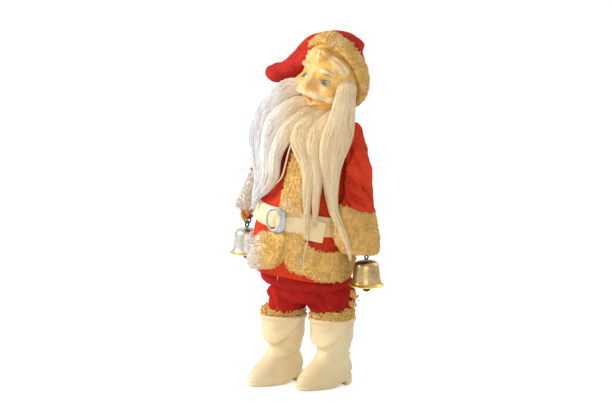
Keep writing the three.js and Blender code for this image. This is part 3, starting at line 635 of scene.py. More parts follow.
def pile(name, base, count, length_mm, material, slot, body, seed, droop=0.22, clump_mm=3.6):
    """Soft pile that stands on a base piece, drawn together in small clumps that lean every way."""
    random = np.random.default_rng(seed)
    roots, out = rooted(base.data, count, random)
    size = length_mm * MM * random.uniform(0.6, 1.15, (count, 1))
    cells = np.array([noise.cell_vector(Vector(p) / (clump_mm * MM)) for p in roots])
    flow = np.array([noise.noise_vector(Vector(p) / (9 * MM)) for p in roots])
    middle = (np.floor(roots / (clump_mm * MM)) + 0.15 + 0.7 * np.abs(cells)) * clump_mm * MM
    gather = middle - roots
    gather -= out * np.sum(gather * out, axis=1, keepdims=True)
    flow -= out * np.sum(flow * out, axis=1, keepdims=True)
    down = np.array([0, 0, -1.0]) + out * out[:, 2:3]
    bend = gather * 0.55 + flow * size * 1.3 + down * size * droop
    middle_point = roots + out * size * 0.5 + bend * 0.3
    tip = roots + out * size * random.uniform(0.5, 0.85, (count, 1)) + bend
    tip += random.normal(0, 0.3 * MM, (count, 3))
    paths = np.stack([roots - out * 0.4 * MM, middle_point, tip], axis=1)
    thick = np.array([0.42, 0.34, 0.07]) * MM * random.uniform(0.7, 1.2, (count, 1))
    return fibres(name, paths, thick, material, slot, body)


def curls(name, base, count, size_mm, material, slot, body, seed):
    """Small wiry loops of fleece that stand on a base piece."""
    random = np.random.default_rng(seed)
    roots, out = rooted(base.data, count, random)
    first = np.cross(out, random.normal(0, 1, (count, 3)))
    first /= np.linalg.norm(first, axis=1, keepdims=True)
    size = size_mm * MM * random.uniform(0.6, 1.2, (count, 1))
    rows = []
    for step in range(7):
        angle = math.radians(-30 + 48 * step)
        along = first * math.sin(angle) * (0.8 - 0.07 * step)
        rows.append(roots + size * (along + out * (0.35 - 0.8 * math.cos(angle) + 0.5)))
    paths = np.stack(rows, axis=1)
    thick = np.array([0.45, 0.5, 0.5, 0.45, 0.42, 0.36, 0.15]) * MM * random.uniform(0.7, 1.15, (count, 1))
    return fibres(name, paths, thick, material, slot, body)


# Sizes and colours that a user would change


def length_choice(label, words, default, low, high):
    """A length that the panel offers."""
    return bpy.props.FloatProperty(
        name=label, description=words, default=default, min=low, max=high, unit="LENGTH"
    )


class DollSizes(bpy.types.PropertyGroup):
    """Sizes of the doll's dress."""

    felt: length_choice(
        "Felt thickness",
        "Thickness of the felt at the coat's and sleeves' edges",
        1.2 * MM,
        0.3 * MM,
        3 * MM,
    )
    pile: length_choice(
        "Pile length", "Length of the fibres on the plush trim", 2.7 * MM, 1 * MM, 9 * MM
    )
    strap: length_choice("Belt thickness", "Thickness of the vinyl belt", 1.1 * MM, 0.4 * MM, 2 * MM)
    belt_width: length_choice("Belt width", "Width of the vinyl belt", 17 * MM, 8 * MM, 25 * MM)
    bell_radius: length_choice("Bell rim radius", "Radius of each bell at its rim", 15 * MM, 8 * MM, 20 * MM)
    bell_height: length_choice(
        "Bell height", "Height of each bell without its eye", 21.5 * MM, 10 * MM, 30 * MM
    )
    boot_height: length_choice("Boot height", "Height of each boot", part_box("left_boot")[1].z, 0.03, 0.1)


def colour_choice(label, words, code):
    """A colour that the panel offers."""
    return bpy.props.FloatVectorProperty(
        name=label,
        description=words,
        subtype="COLOR",
        size=3,
        min=0.0,
        max=1.0,
        default=linear(code),
    )


class DollColours(bpy.types.PropertyGroup):
    """Colours of the doll's finishes."""

    coat: colour_choice("Coat red", "Red of the coat and the sleeves", "#DB4222")
    coat_shade: colour_choice("Coat shade", "Deeper red where the felt is worn", "#B82C1C")
    trousers: colour_choice("Trouser red", "Red of the trousers", "#B4201A")
    trousers_shade: colour_choice("Trouser shade", "Deeper red of the trousers", "#8A140F")
    plush: colour_choice("Plush gold", "Gold of the plush trim", "#F0C878")
    plush_dark: colour_choice("Plush brown", "Tan that shows between the clumps", "#CDA258")
    plush_aged: colour_choice("Plush grey", "Grey of the faded plush", "#DDD5CA")
    beard: colour_choice("Beard cream", "Warm white of the beard", "#F3DFB8")
    beard_shade: colour_choice("Beard shade", "Tan between the beard's strands", "#D2B080")
    skin: colour_choice("Face", "Yellowed flesh paint of the face", "#F3D07C")
    boots: colour_choice("Boots", "Ivory of the boots", "#E9D8B0")
    boots_shade: colour_choice("Boot shade", "Yellowed patches of the boots", "#DEC796")
    vinyl: colour_choice("Belt", "Cream of the vinyl belt", "#F2DFB0")


def sizes():
    return bpy.context.scene.doll_sizes


def colours():
    return bpy.context.scene.doll_colours


def code(value):
    """A colour property as a plain tuple."""
    return tuple(value)


# Coat, sleeves and front

COAT = Levels(
    [
        (96, -3, -10, 38.5, 37.5),
        (112, -3, -12, 41, 41),
        (128, -3, -12.5, 41.5, 42),
        (140, -3, -12.5, 40.6, 41.2),
        (156, -3, -12, 40.6, 41),
        (168, -2.3, -10, 39.6, 38.5),
        (182, -1.2, -7, 36.2, 33.5),
        (194, -0.4, -4.5, 32.8, 29),
        (204, 0, -2, 31.2, 25.5),
        (214, 0, 0, 30.4, 22.5),
        (223, 0.8, 1, 27.5, 19.5),
        (229, 1.8, 1.6, 22.5, 16.5),
        (233.5, 3, 2, 15.5, 13.5),
    ]
)
FRONT = -math.pi / 2
PARTING = math.radians(-78)
COAT_LOW, COAT_TOP = 96.0, 233.3
# The way towards which the lower edges of the coat and of its hem rise
HEM_FRONT = math.radians(-83)


def on_coat(turn, height, out=0.0):
    """A point on the coat: turn from 0 to 1 round it from the doll's left, over its front last."""
    _, x, y, a, b = COAT(height)
    angle = math.tau * turn
    return Vector((x + (a + out) * math.cos(angle), y + (b + out) * math.sin(angle), height))


def coat_folds(turn, height):
    """How far the felt stands off: pinched by the belt, gathered above and below it."""
    angle = math.tau * turn
    waist = hill(height, BELT_MIDDLE, 9.0)
    gather = hill(height, BELT_MIDDLE + 14, 12.0) + hill(height, BELT_MIDDLE - 13, 8.0)
    wave = math.sin(11 * angle + 0.8 * math.sin(3 * angle)) * 0.6 + math.sin(19 * angle + 1.0) * 0.25
    point = on_coat(turn, height)
    return 0.7 * gather * wave - 0.5 * waist + 0.8 * lumps(point, 21, 3.0) - 0.3


def hem_edge(angle):
    """How far the hem's plush rises towards the front, and most at its parting."""
    front = angle_gap(angle, HEM_FRONT)
    return 9.0 * hill(front, 0, 0.68) + 9.0 * hill(angle_gap(angle, PARTING), 0, 0.12)


def coat_shape():
    def place(turn, length):
        front = angle_gap(math.tau * turn, HEM_FRONT)
        bottom = 98.0 + 4.0 * hill(front, 0, 0.68)
        height = bottom + (COAT_TOP - bottom) * length
        return on_coat(turn, height, coat_folds(turn, height))

    return wrapped(120, 90, place, shut=False)


ARM_ROWS = (
    (-21, -2.2, 0, 1.8, 5),
    (-18, -0.9, 0, 4, 9),
    (-12, 1, 0, 5.8, 12.4),
    (-4, 3.2, 0, 6.8, 14.4),
    (6, 5, 0, 7.6, 15.6),
    (20, 7.8, 0.3, 8.6, 16.6),
    (35, 12.4, 0.66, 9, 18),
    (50, 15.2, 0.9, 9.6, 20),
    (70, 18.6, 0.97, 11.2, 22.5),
    (88, 23, 0.85, 11.6, 20),
)


def arm_levels(name):
    """Rows down one arm: distance, how far out, half width, half depth."""
    spread = ARM_SPREAD[name]
    return Levels([(s, out + spread * share, a, b) for s, out, share, a, b in ARM_ROWS])


def on_arm(name, levels, turn, down, out=0.0):
    """A point on the arm's face; turn 0.25 is the doll's back and 0.75 its front."""
    _, middle, a, b = levels(down)
    angle = math.tau * turn
    side = SIDE[name]
    return Vector((side * middle + (a + out) * math.cos(angle), (b + out) * math.sin(angle), -down))


# Soft dents across a sleeve: degrees out from the face that shows and distance down, where the dent
# starts and ends, then its width and depth
SLEEVE_FOLDS = {
    "left": (
        (-50, 12, 20, -5, 3.0, 2.6),
        (-55, 22, 30, 32, 3.2, 2.8),
        (-45, 32, 40, 44, 2.8, 2.4),
        (-5, 4, 45, 20, 3.0, 2.2),
        (30, 24, 75, 42, 3.0, 2.0),
        (-60, 38, -10, 49, 2.6, 2.2),
        (120, 8, 160, 32, 4.0, 2.2),
        (-130, 6, -165, 30, 4.0, 2.0),
    ),
    "right": ((10, 8, 60, 24, 3.2, 1.8), (100, 10, 140, 30, 3.4, 1.8), (0, 20, 60, 34, 2.8, 1.4)),
}


def furrows(across, along, radius, rows):
    """How deep the folds are at a place on a tube that has been rolled out flat.

    The place is in degrees across and in mm along the tube, down a sleeve or up the trousers.
    Each fold has a soft ridge beside it."""
    scale = math.radians(radius)
    spot = Vector((across * scale, along, 0))
    depth = 0.0
    for a, b, c, d, width, height in rows:
        start, end = Vector((a * scale, b, 0)), Vector((c * scale, d, 0))
        beside = Vector((0, 2 * width, 0))
        depth += height * (crease(spot, start, end, width) - 0.5 * crease(spot - beside, start, end, width))
    return depth


def drawn_in(name, down):
    """How far the sleeve and its cuff are drawn in to the body."""
    return -SIDE[name] * (3.6 * hill(down, -8, 12) + 2.8 * eased(down, 12, 50) - 1.4 * eased(down, 60, 80))


# How much the cuff's upper edge slants, its gap to the sleeve, and where a sleeve starts
CUFF_SLANT = 3.6
CUFF_GAP = 0.35
SLEEVE_START = -20.8


def cuff_rise(angle):
    """How far the cuff's upper edge rises towards the doll's front."""
    return CUFF_SLANT * math.cos(angle_gap(angle, math.radians(-115)))


def sleeve_shape(name):
    levels = arm_levels(name)
    side = SIDE[name]

    def place(turn, along):
        length = SLEEVE_LENGTH[name] - cuff_rise(math.tau * turn)
        down = SLEEVE_START + (length - SLEEVE_START) * along
        point = on_arm(name, levels, turn, down)
        dent = 0.8 * lumps(point, 13, 5.0 * side) + 0.4 * lumps(point, 6, 9.0 * side)
        across = side * math.degrees(angle_gap(math.tau * turn, FRONT + side * VIEW_TURN))
        dent -= 2.3 * furrows(across, down, 15, SLEEVE_FOLDS[name])
        dent *= eased(down, SLEEVE_START, -14)
        edge = eased(down, length - 7, length)
        dent += edge * (0.5 + 0.5 * math.sin(14 * math.pi * turn + side))
        return on_arm(name, levels, turn, down, dent) + Vector((drawn_in(name, down), 0, 0))

    return wrapped(88, 76, place, shut=False)


def front_strip(bottom, top, out, seed):
    """The base of the plush strip down the coat's front: a domed band that follows the coat."""
    half = 9.6

    def place(turn, length):
        angle = math.tau * turn
        across = half * fuller(math.cos(angle), 0.75)
        height = bottom + (top - bottom) * length
        middle = 6.0 - 0.16 * (height - 163)
        _, x, y, a, b = COAT(height)
        share = min(max((middle + across - x) / a, -0.98), 0.98)
        rise = max(math.sin(-angle), 0.0) ** 0.5 * out
        back = 0.35
        lift = back + rise + (0.7 * lumps((across, height, seed), 7, seed) if rise > 0.5 else 0.0)
        over = math.sqrt(1 - share * share)
        return Vector((x + (a + lift) * share, y - (b + lift) * over, height))

    return wrapped(36, int((top - bottom) / 1.8), place)


class BuildCoat(bpy.types.Operator):
    """Make the felt coat and its two sleeves."""

    bl_idname = "doll.coat"
    bl_label = "Coat and sleeves"

    def execute(self, context):
        shades = colours()
        felt = wool_felt("brushed_wool_felt_red", code(shades.coat), code(shades.coat_shade))
        made = finished("coat_cloth", coat_shape(), FIGURE, felt, "coat_felt", "torso", ["coat"])
        thickened(made, sizes().felt / MM, 0.3, -1.0)
        for name in SIDE:
            sleeve = finished(
                f"{name}_sleeve_cloth",
                sleeve_shape(name),
                arm_place(name),
                felt,
                "coat_felt",
                f"{name}_arm",
                [f"{name}_sleeve"],
            )
            thickened(sleeve, sizes().felt / MM, 0.3, -1.0)
        return {"FINISHED"}


# Trousers

LEG_MIDDLE = {name: Vector((side * 22.0, side * BOOT_STAGGER, 0)) for name, side in SIDE.items()}


# How far each trouser leg stands in from its boot's middle, and by how much it is narrower
LEG_IN = {"left": -1.8, "right": 4.5}
LEG_NARROW = {"left": 0.0, "right": 5.6}


def trouser_shape():
    seat = Levels(
        [
            (84, 2, -1, 33, 25),
            (88, 2, -2.5, 38.5, 31),
            (93, 1.5, -4, 41, 34),
            (99, 0, -5.5, 40, 34),
            (106, -1, -9, 37.5, 36),
            (115, -2.5, -11, 34.5, 36),
        ]
    )

    def seat_place(turn, length):
        height = 84 + 31 * length
        _, x, y, a, b = seat(height)
        angle = math.tau * turn
        return Vector((x + a * math.cos(angle), y + b * math.sin(angle), height))

    def crotch_place(turn, length):
        angle, rise = math.tau * turn, math.pi * (length - 0.5)
        across, deep = 31 * math.cos(rise) ** 0.7, 26 * math.cos(rise) ** 0.7
        return Vector((2 + across * math.cos(angle), -1 + deep * math.sin(angle), 84 + 13 * math.sin(rise)))

    parts = [wrapped(64, 24, seat_place), wrapped(48, 16, crotch_place)]
    for name, bottom in (("left", 65.0), ("right", 62.5)):
        middle = LEG_MIDDLE[name] + Vector((LEG_IN[name], 0, 0))
        narrow = LEG_NARROW[name]
        rows = [(0, 0, 16.5, 17), (2.5, 0, 19.5, 19.6), (9, 0.3, 21, 21.5)]
        rows += [(18, 0.3, 20.4, 22), (26, 0, 18.5, 20)]
        leg = Levels([(bottom + up, x, a - narrow, b - 0.2 * narrow) for up, x, a, b in rows])

        def leg_place(turn, length, leg=leg, middle=middle, bottom=bottom):
            height = bottom + 26 * length
            _, x, a, b = leg(height)
            angle = math.tau * turn
            return middle + Vector((x + a * math.cos(angle), b * math.sin(angle), height))

        parts.append(wrapped(48, 18, leg_place))
    bm = merged(joined(*parts), 1.2, 3)
    for v in bm.verts:
        v.co += trouser_folds(v.co)
    softened(bm, 0.4)
    return bm


# Folds in the seat and the two legs, as the sleeves' are given but by height
TROUSER_FOLDS = {
    "seat": (
        (-70, 99, -20, 93, 2.6, 1.8),
        (-10, 101, 40, 94, 2.6, 1.8),
        (60, 102, 110, 92, 3.0, 2.0),
        (-110, 100, -150, 92, 3.0, 2.0),
    ),
    "left": (
        (-22, 84, -4, 66, 2.0, 3.2),
        (26, 83, 12, 66, 2.0, 3.0),
        (-60, 82, -24, 68, 2.4, 2.8),
        (62, 84, 44, 68, 2.4, 2.6),
        (-80, 77, -40, 70, 2.2, 2.0),
        (150, 82, 120, 68, 3.0, 2.4),
    ),
    "right": (
        (-46, 84, -30, 64, 2.6, 2.2),
        (40, 84, 28, 66, 2.4, 2.6),
        (-95, 79, -55, 73, 2.2, 2.6),
        (75, 82, 60, 66, 2.6, 2.2),
        (-150, 82, -120, 68, 3.0, 2.4),
    ),
}


# The middle of the fleece rings: how high they are and how far out
FLEECE_HEIGHT = 60.0
FLEECE_REACH = 13.9


def trouser_folds(point):
    """Where a point of the trousers goes for the felt's folds and dents."""
    part, middle, radius = "seat", Vector((0, -2, point.z)), 36
    if point.z < 86:
        part = min(SIDE, key=lambda name: abs(point.x - LEG_MIDDLE[name].x - LEG_IN[name]))
        middle = LEG_MIDDLE[part] + Vector((LEG_IN[part], 0, point.z))
        radius = 19
    out = (point - middle).normalized()
    across = math.degrees(angle_gap(math.atan2(out.y, out.x), FRONT + VIEW_TURN))
    lift = 0.9 * lumps(point, 12, 8.0) + 0.35 * lumps(point, 5, 2.0)
    lift -= 1.4 * furrows(across, point.z, radius, TROUSER_FOLDS[part])
    return out * (lift - 2.4 * hill(point.z, 86.0, 2.0))


class BuildTrousers(bpy.types.Operator):
    """Make the trousers with the curled fleece at their ends."""

    bl_idname = "doll.trousers"
    bl_label = "Trousers"

    def execute(self, context):
        shades = colours()
        felt = wool_felt(
            "brushed_wool_felt_trousers", code(shades.trousers), code(shades.trousers_shade), 1.1
        )
        finished("trouser_cloth", trouser_shape(), STAND, felt, "trouser_felt", "torso", ["trousers"])
        fleece = pile_fabric("curled_fleece_gold", "#EDC56C", "#BE9444", "#F3DBA0", 3.0, False)
        for number, name in enumerate(SIDE):
            middle = LEG_MIDDLE[name]

            def place(turn, length, middle=middle, name=name):
                angle = math.tau * turn
                around = math.tau * length
                rough = lumps((math.cos(angle) * 14, math.sin(angle) * 14, SIDE[name] * 9), 4, 6.0)
                rise = math.sin(around)
                reach = FLEECE_REACH + (2.0 + 1.4 * eased(rise, -0.2, 0.5) + 1.0 * rough) * math.cos(around)
                outer = hill(angle_gap(angle, 0), 0, 1.0) if name == "left" else 0.0
                height = FLEECE_HEIGHT + (3.8 + 2.2 * rough + 1.4 * outer) * rise + 2.0 * outer
                return middle + Vector((reach * math.cos(angle), reach * math.sin(angle), height))

            made = finished(
                f"{name}_fleece_edge",
                wrapped(96, 20, place),
                STAND,
                fleece,
                "fleece",
                "torso",
                [f"{name}_trouser_fleece"],
            )
            curls(f"{name}_fleece_curls", made, 2400, 1.9, fleece, "fleece", "torso", 40 + number)
        tufts = [swept(line, [1.3, 1.0, 0.3], [1.5, 1.1, 0.3], (0, 1, 0), 16, 10) for line in TUFTS]
        tuft = finished("fleece_tufts", joined(*tufts), STAND, fleece, "fleece", "torso")
        curls("fleece_tuft_curls", tuft, 120, 0.9, fleece, "fleece", "torso", 42)
        thread = [0.5, 0.5, 0.4, 0.15]
        frayed = [swept(line, thread, thread, (1, 0, 0), 6, 12) for line in FRAYED]
        finished("frayed_threads", joined(*frayed), STAND, fleece, "fleece", "torso")
        return {"FINISHED"}


# Tufts of fleece that stand off the left leg, and threads that have come loose
TUFTS = ([(40, 3, 83), (44, 4, 81), (47, 5, 79.5)], [(40, 4, 74), (43, 5, 72), (45.5, 6, 71)])
FRAYED = (
    [(-9, -40, 110), (-6.5, -42, 105.5), (-4.5, -41.5, 100), (-5.5, -40.5, 96)],
    [(39, 6, 79), (43, 6, 77), (47, 7, 76), (50, 8, 77)],
    [(39, 2, 76), (44, 1, 74), (46, 1, 75), (48, 0, 73)],
    [(-30, -8, 76), (-34, -9, 77), (-36, -10, 79), (-36, -10, 81)],
)


# Boots

BOOT_TOP = 60.0
BOOT = Levels(
    [
        (0, 0, -9.1, 11.6, 26.6),
        (1.2, 0, -9.1, 12.6, 28),
        (4, 0, -9.1, 13.1, 28.4),
        (9, 0, -8.6, 13.4, 27.8),
        (14, 0, -6.8, 13.2, 25.4),
        (19, 0, -3.6, 12.8, 21.6),
        (24, 0, -0.8, 12.3, 17.5),
        (29, 0, 0.9, 12.3, 15.6),
        (34, 0, 1.4, 13.2, 15.6),
        (42, 0, 0.8, 15.4, 17.2),
        (50, 0, 0.2, 17.4, 18.6),
        (56, 0, 0, 18.6, 19.4),
        (60, 0, 0, 19, 19.8),
    ]
)
# The boot's skin from under the sole, up the outside, over the rim and down the inside:
# share of the skin, height, how far in from the outside, and the share of the full width there
BOOT_SKIN = Levels(
    [
        (0.0, 0.0, 0, 0.02),
        (0.1, 0.0, 0, 0.9),
        (0.13, 0.6, 0, 1.0),
        (0.3, 14, 0, 1.0),
        (0.5, 34, 0, 1.0),
        (0.7, 55, 0, 1.0),
        (0.735, 59.2, 0, 1.0),
        (0.75, 60.0, 1.0, 1.0),
        (0.765, 59.2, 2.0, 1.0),
        (0.8, 55, 2.0, 1.0),
        (0.95, 41, 2.0, 1.0),
        (1.0, 40.6, 2.0, 0.05),
    ]
)


def boot_shape(name):
    side = SIDE[name]

    def place(turn, length):
        _, height, inset, share = BOOT_SKIN(length)
        height, share = min(max(height, 0.0), BOOT_TOP), min(share, 1.0)
        _, x, y, a, b = BOOT(height)
        angle = math.tau * turn
        round_front = angle_gap(angle, FRONT)
        point = Vector(
            (
                x + (a - inset) * share * math.cos(angle),
                y + (b - inset) * share * math.sin(angle),
                height,
            )
        )
        if length > 0.76:
            return point
        out = Vector((math.cos(angle), math.sin(angle), 0))
        lift = boot_relief(round_front, point, side)
        if height < 0.3:
            lift *= 0.0
        point += out * lift
        arch = eased(point.y, -9, 5) * (1 - eased(point.y, 6.5, 9)) * (1 - eased(height, 1.0, 8.0))
        point.z += 3.6 * arch
        return point

    return wrapped(112, 150, place)


def boot_relief(turned, point, side):
    """The moulded relief: the turned-down top with its scoop, the ankle's folds, heel and welt."""
    height = point.z
    wide = abs(turned)
    behind = eased(wide, 1.8, 2.5)
    away = turned - 0.3
    scoop = 34.5 + (11.0 if away > 0 else 5.5) * away * away
    fade = 1 - eased(abs(away), 1.3, 1.7)
    over = eased(height, scoop - 1.6, scoop + 1.6)
    lift = fade * 3.2 * over * (1 - 0.9 * eased(height, scoop + 1, scoop + 14))
    lift -= fade * 0.5 * hill(height, scoop - 3.0, 2.0)
    lift += 1.0 * hill(height, 58.4, 1.8)
    lift += 0.9 * hill(height, 42.0, 4.0) * behind
    fold = math.sin(2.2 * turned * side + 0.4)
    lift -= 1.5 * hill(height, 24.5 + 2.2 * fold, 1.5) * eased(wide, 0.6, 1.3)
    lift -= 1.0 * hill(height, 29.4 - 2.0 * fold, 1.3) * eased(wide, 0.8, 1.6)
    lift += 0.7 * hill(height, 26.9, 1.5) * eased(wide, 0.7, 1.4)
    lift -= 1.4 * hill(height, 10.8, 1.1) * behind
    lift += 0.9 * hill(height, 16.0, 3.6) * behind
    lift -= 0.5 * hill(height, 3.4, 0.7) * (1 - behind)
    lift += 0.4 * hill(height, 1.6, 0.9)
    toe = hill(height, 12.5 - 0.15 * (point.y + 30), 1.6) * (1 - eased(wide, 0.5, 1.0))
    return lift - 0.6 * toe + 0.35 * lumps(point, 9, 4.0 + side)


class BuildBoots(bpy.types.Operator):
    """Make the two blow-moulded boots."""

    bl_idname = "doll.boots"
    bl_label = "Boots"

    def execute(self, context):
        shades = colours()
        plastic = boot_plastic("moulded_polyethylene_ivory", code(shades.boots), code(shades.boots_shade))
        for name in SIDE:
            bm = boot_shape(name)
            grown = Matrix.Diagonal((1, 1, sizes().boot_height / (BOOT_TOP * MM), 1))
            place = boot_place(name) @ grown
            body = f"{name}_boot"
            finished(f"{name}_boot_shell", bm, place, plastic, "boot_plastic", body, [body])
        return {"FINISHED"}


# Belt and buckle


def on_belt(turn, up, out):
    """A point of the belt, which slopes down to the doll's left."""
    level = on_coat(turn, BELT_MIDDLE)
    front = 3.0 * hill(angle_gap(math.tau * turn, math.radians(-70)), 0, 0.5)
    return on_coat(turn, BELT_MIDDLE - level.x * math.tan(BELT_TILT) + up + front, out)


def turn_at(x):
    """The turn round the coat at which its front stands at one x, at the belt's height."""
    _, middle, _, a, _ = COAT(BELT_MIDDLE)
    share = min(max((x - middle) / a, -1.0), 1.0)
    return (-math.acos(share) / math.tau) % 1.0


def belt_ring(width):
    def place(turn, length):
        up = (length - 0.5) * width
        return on_belt(turn, up, 0.3 + 0.12 * lumps(on_coat(turn, BELT_MIDDLE), 16, 1.0))

    return wrapped(140, 6, place, shut=False)


def belt_tail(width, strap):
    """The free end: flat over the belt, sagging a little, and cut straight across."""
    first, last = turn_at(-4), turn_at(30.5)

    def place(turn, length):
        share = turn
        low = -width / 2 - 4.8 * eased(share, 0.0, 0.6)
        high = width / 2 - 4.2 * eased(share, 0.55, 1.0)
        up = low + (high - low) * length
        lift = 0.3 + strap + 0.35 + 1.3 * eased(share, 0.75, 1.0)
        slant = 0.010 * (length - 0.5) * eased(share, 0.6, 1.0)
        return on_belt(first + (last - first) * share + slant, up, lift)

    return wrapped(46, 8, place, shut=False)


BUCKLE_X = -3.0


def buckle_shape():
    """A flat frame, round on one side and straight on the other, with an oval window."""
    half_wide, half_high = 9.6, 10.3
    _, x, y, a, b = COAT(BELT_MIDDLE)
    across = (BUCKLE_X - x) / a
    front = y - b * math.sqrt(1 - across * across) - 4.45 - 0.8

    def place(turn, length):
        angle = math.tau * turn
        c, s = math.cos(angle), math.sin(angle)
        wide, high = (0.42, 0.62) if c > 0 else (0.86, 0.9)
        outer = (half_wide * fuller(c, wide), half_high * fuller(s, high))
        inner = (-1.9 + 6.2 * c, 7.9 * s)
        around = math.tau * length
        share = 0.5 - 0.5 * math.cos(around)
        thick = 0.95 * fuller(math.sin(around), 0.55)
        px = inner[0] + (outer[0] - inner[0]) * share
        pz = inner[1] + (outer[1] - inner[1]) * share
        return Vector((BUCKLE_X + px, front - thick, BELT_MIDDLE + 1.2 + pz))

    return wrapped(96, 20, place)


class BuildBelt(bpy.types.Operator):
    """Make the vinyl belt, its free end and the plated buckle."""

    bl_idname = "doll.belt"
    bl_label = "Belt and buckle"

    def execute(self, context):
        width, strap = sizes().belt_width / MM, sizes().strap / MM
        vinyl = soft_vinyl("calendered_vinyl_cream", code(colours().vinyl), "#E6CD9C")
        silver = plated_metal("nickel_plated_steel", "#B9BCC0", "#85878E", 0.2, 0.42, 5.0)
        ring = finished("belt_strap", belt_ring(width), FIGURE, vinyl, "vinyl", "torso", ["belt"])
        thickened(ring, strap, 0.3)
        tail = belt_tail(width, strap)
        end = finished("belt_free_end", tail, FIGURE, vinyl, "vinyl", "torso", ["belt_end"])
        thickened(end, strap, 0.3)
        finished("buckle_frame", buckle_shape(), FIGURE, silver, "silver_plate", "torso", ["belt_buckle"])
        return {"FINISHED"}


# Bells, hands and the wire between them

BELL_CROWN = -4.5  # the crown's height below the swing's axis
# Skin of the bell from the crown's middle, down the outside, round the rim and up the inside:
# share of the skin, share of the rim's radius, share of the height
BELL_SKIN = Levels(
    [
        (0.0, 0.01, 0.0),
        (0.05, 0.22, 0.0),
        (0.1, 0.4, 0.01),
        (0.14, 0.573, 0.056),
        (0.18, 0.68, 0.149),
        (0.24, 0.733, 0.302),
        (0.32, 0.773, 0.558),
        (0.39, 0.813, 0.767),
        (0.435, 0.878, 0.893),
        (0.47, 0.97, 0.95),
        (0.49, 1.0, 0.968),
        (0.5, 1.0, 0.99),
        (0.515, 0.975, 1.0),
        (0.54, 0.93, 0.985),
        (0.58, 0.83, 0.93),
        (0.64, 0.745, 0.77),
        (0.72, 0.70, 0.56),
        (0.82, 0.655, 0.302),
        (0.88, 0.59, 0.17),
        (0.93, 0.42, 0.09),
        (1.0, 0.01, 0.06),
    ]
)


def bell_shape(radius, height):
    def place(turn, length):
        _, out, down = BELL_SKIN(length)
        angle = math.tau * turn
        reach = abs(out) * radius
        drop = BELL_CROWN - down * height
        return Vector((reach * math.cos(angle), reach * math.sin(angle), drop))

    return wrapped(72, 110, place)


def ring_shape(radius, wire, middle, flat_axis):
    """A wire ring; flat_axis is the axis square to it."""

    def place(turn, length):
        angle, around = math.tau * turn, math.tau * length
        reach = radius + wire * math.cos(around)
        a, b, c = reach * math.cos(angle), reach * math.sin(angle), wire * math.sin(around)
        return Vector(middle) + (Vector((c, a, b)) if flat_axis == "X" else Vector((a, c, b)))

    return wrapped(40, 12, place)


def ball_shape(radius, middle):
    bm = bmesh.new()
    bmesh.ops.create_uvsphere(bm, u_segments=32, v_segments=20, radius=radius)
    bmesh.ops.translate(bm, verts=bm.verts, vec=middle)
    return bm


def bell_material(name, dome_bright, dome_dull):
    """Thin pressed brass: golden, dulled to grey-green on the dome and still bright at the lip."""
    made, tree, shader = new_material(name)
    where = object_place(tree)
    uv = add(tree, "ShaderNodeTexCoord").outputs["UV"]
    skin = add(tree, "ShaderNodeSeparateXYZ", {"Vector": uv}).outputs["Y"]
    clouds = grain(tree, where, 7.0, 5.0, 0.65)
    dome = blended(tree, stretched(tree, clouds, 0.35, 0.68), rgba(dome_bright), rgba(dome_dull))
    lip = stretched(tree, skin, 0.43, 0.475)
    inner = stretched(tree, skin, 0.56, 0.62)
    outside = blended(tree, lip, dome, rgba("#E3BD55"))
    coloured(tree, shader, blended(tree, inner, outside, rgba("#8C6A34")))
    roughened(tree, shader, clouds, 0.24, 0.42)
    shader.inputs["Metallic"].default_value = 1.0
    turned = squeezed(tree, uv, (0.02, 1.0, 1.0))
    rings = add(tree, "ShaderNodeTexNoise", {"Vector": turned, "Scale": 220.0, "Detail": 2.0})
    raised(tree, shader, rings.outputs["Fac"], 0.03, 0.5)
    return made


def hand_shape(name):
    """A moulded mitt-like hand: a palm, four curled fingers and a thumb that hold the ring."""
    levels = arm_levels(name)
    side = SIDE[name]
    wrist = side * levels(HAND_TOP)[1]
    x = wrist + side * HAND_OUT[name]
    top = -HAND_TOP
    palm = [(wrist, 0, top + 1), (x * 0.6 + wrist * 0.4, 0, top - 4), (x, 0, top - 9)]
    parts = [swept(palm, [3.6, 4.3, 3.6], [6.0, 7.4, 6.6], (1, 0, 0), 24, 14)]
    for number in range(4):
        y = -5.1 + 3.4 * number
        length = 6.6 - 0.7 * abs(number - 1.5)
        line = [
            (x + side * 1.2, y, top - 6),
            (x + side * 2.2, y * 1.02, top - 8 - length * 0.45),
            (x + side * 0.6, y * 0.98, top - 8 - length),
            (x - side * 2.0, y * 0.9, top - 8 - length * 0.8),
        ]
        parts.append(swept(line, [1.9, 2.0, 1.9, 1.2], [1.9, 1.9, 1.8, 1.2], (1, 0, 0), 14, 12))
    thumb = [(x - side * 2.4, -5.0, top - 3), (x - side * 3.4, -6.6, top - 7)]
    thumb.append((x - side * 3.2, -5.4, top - 11))
    parts.append(swept(thumb, [1.8, 1.9, 1.2], [1.8, 1.9, 1.2], (1, 0, 0), 14, 10))
    return joined(*parts)


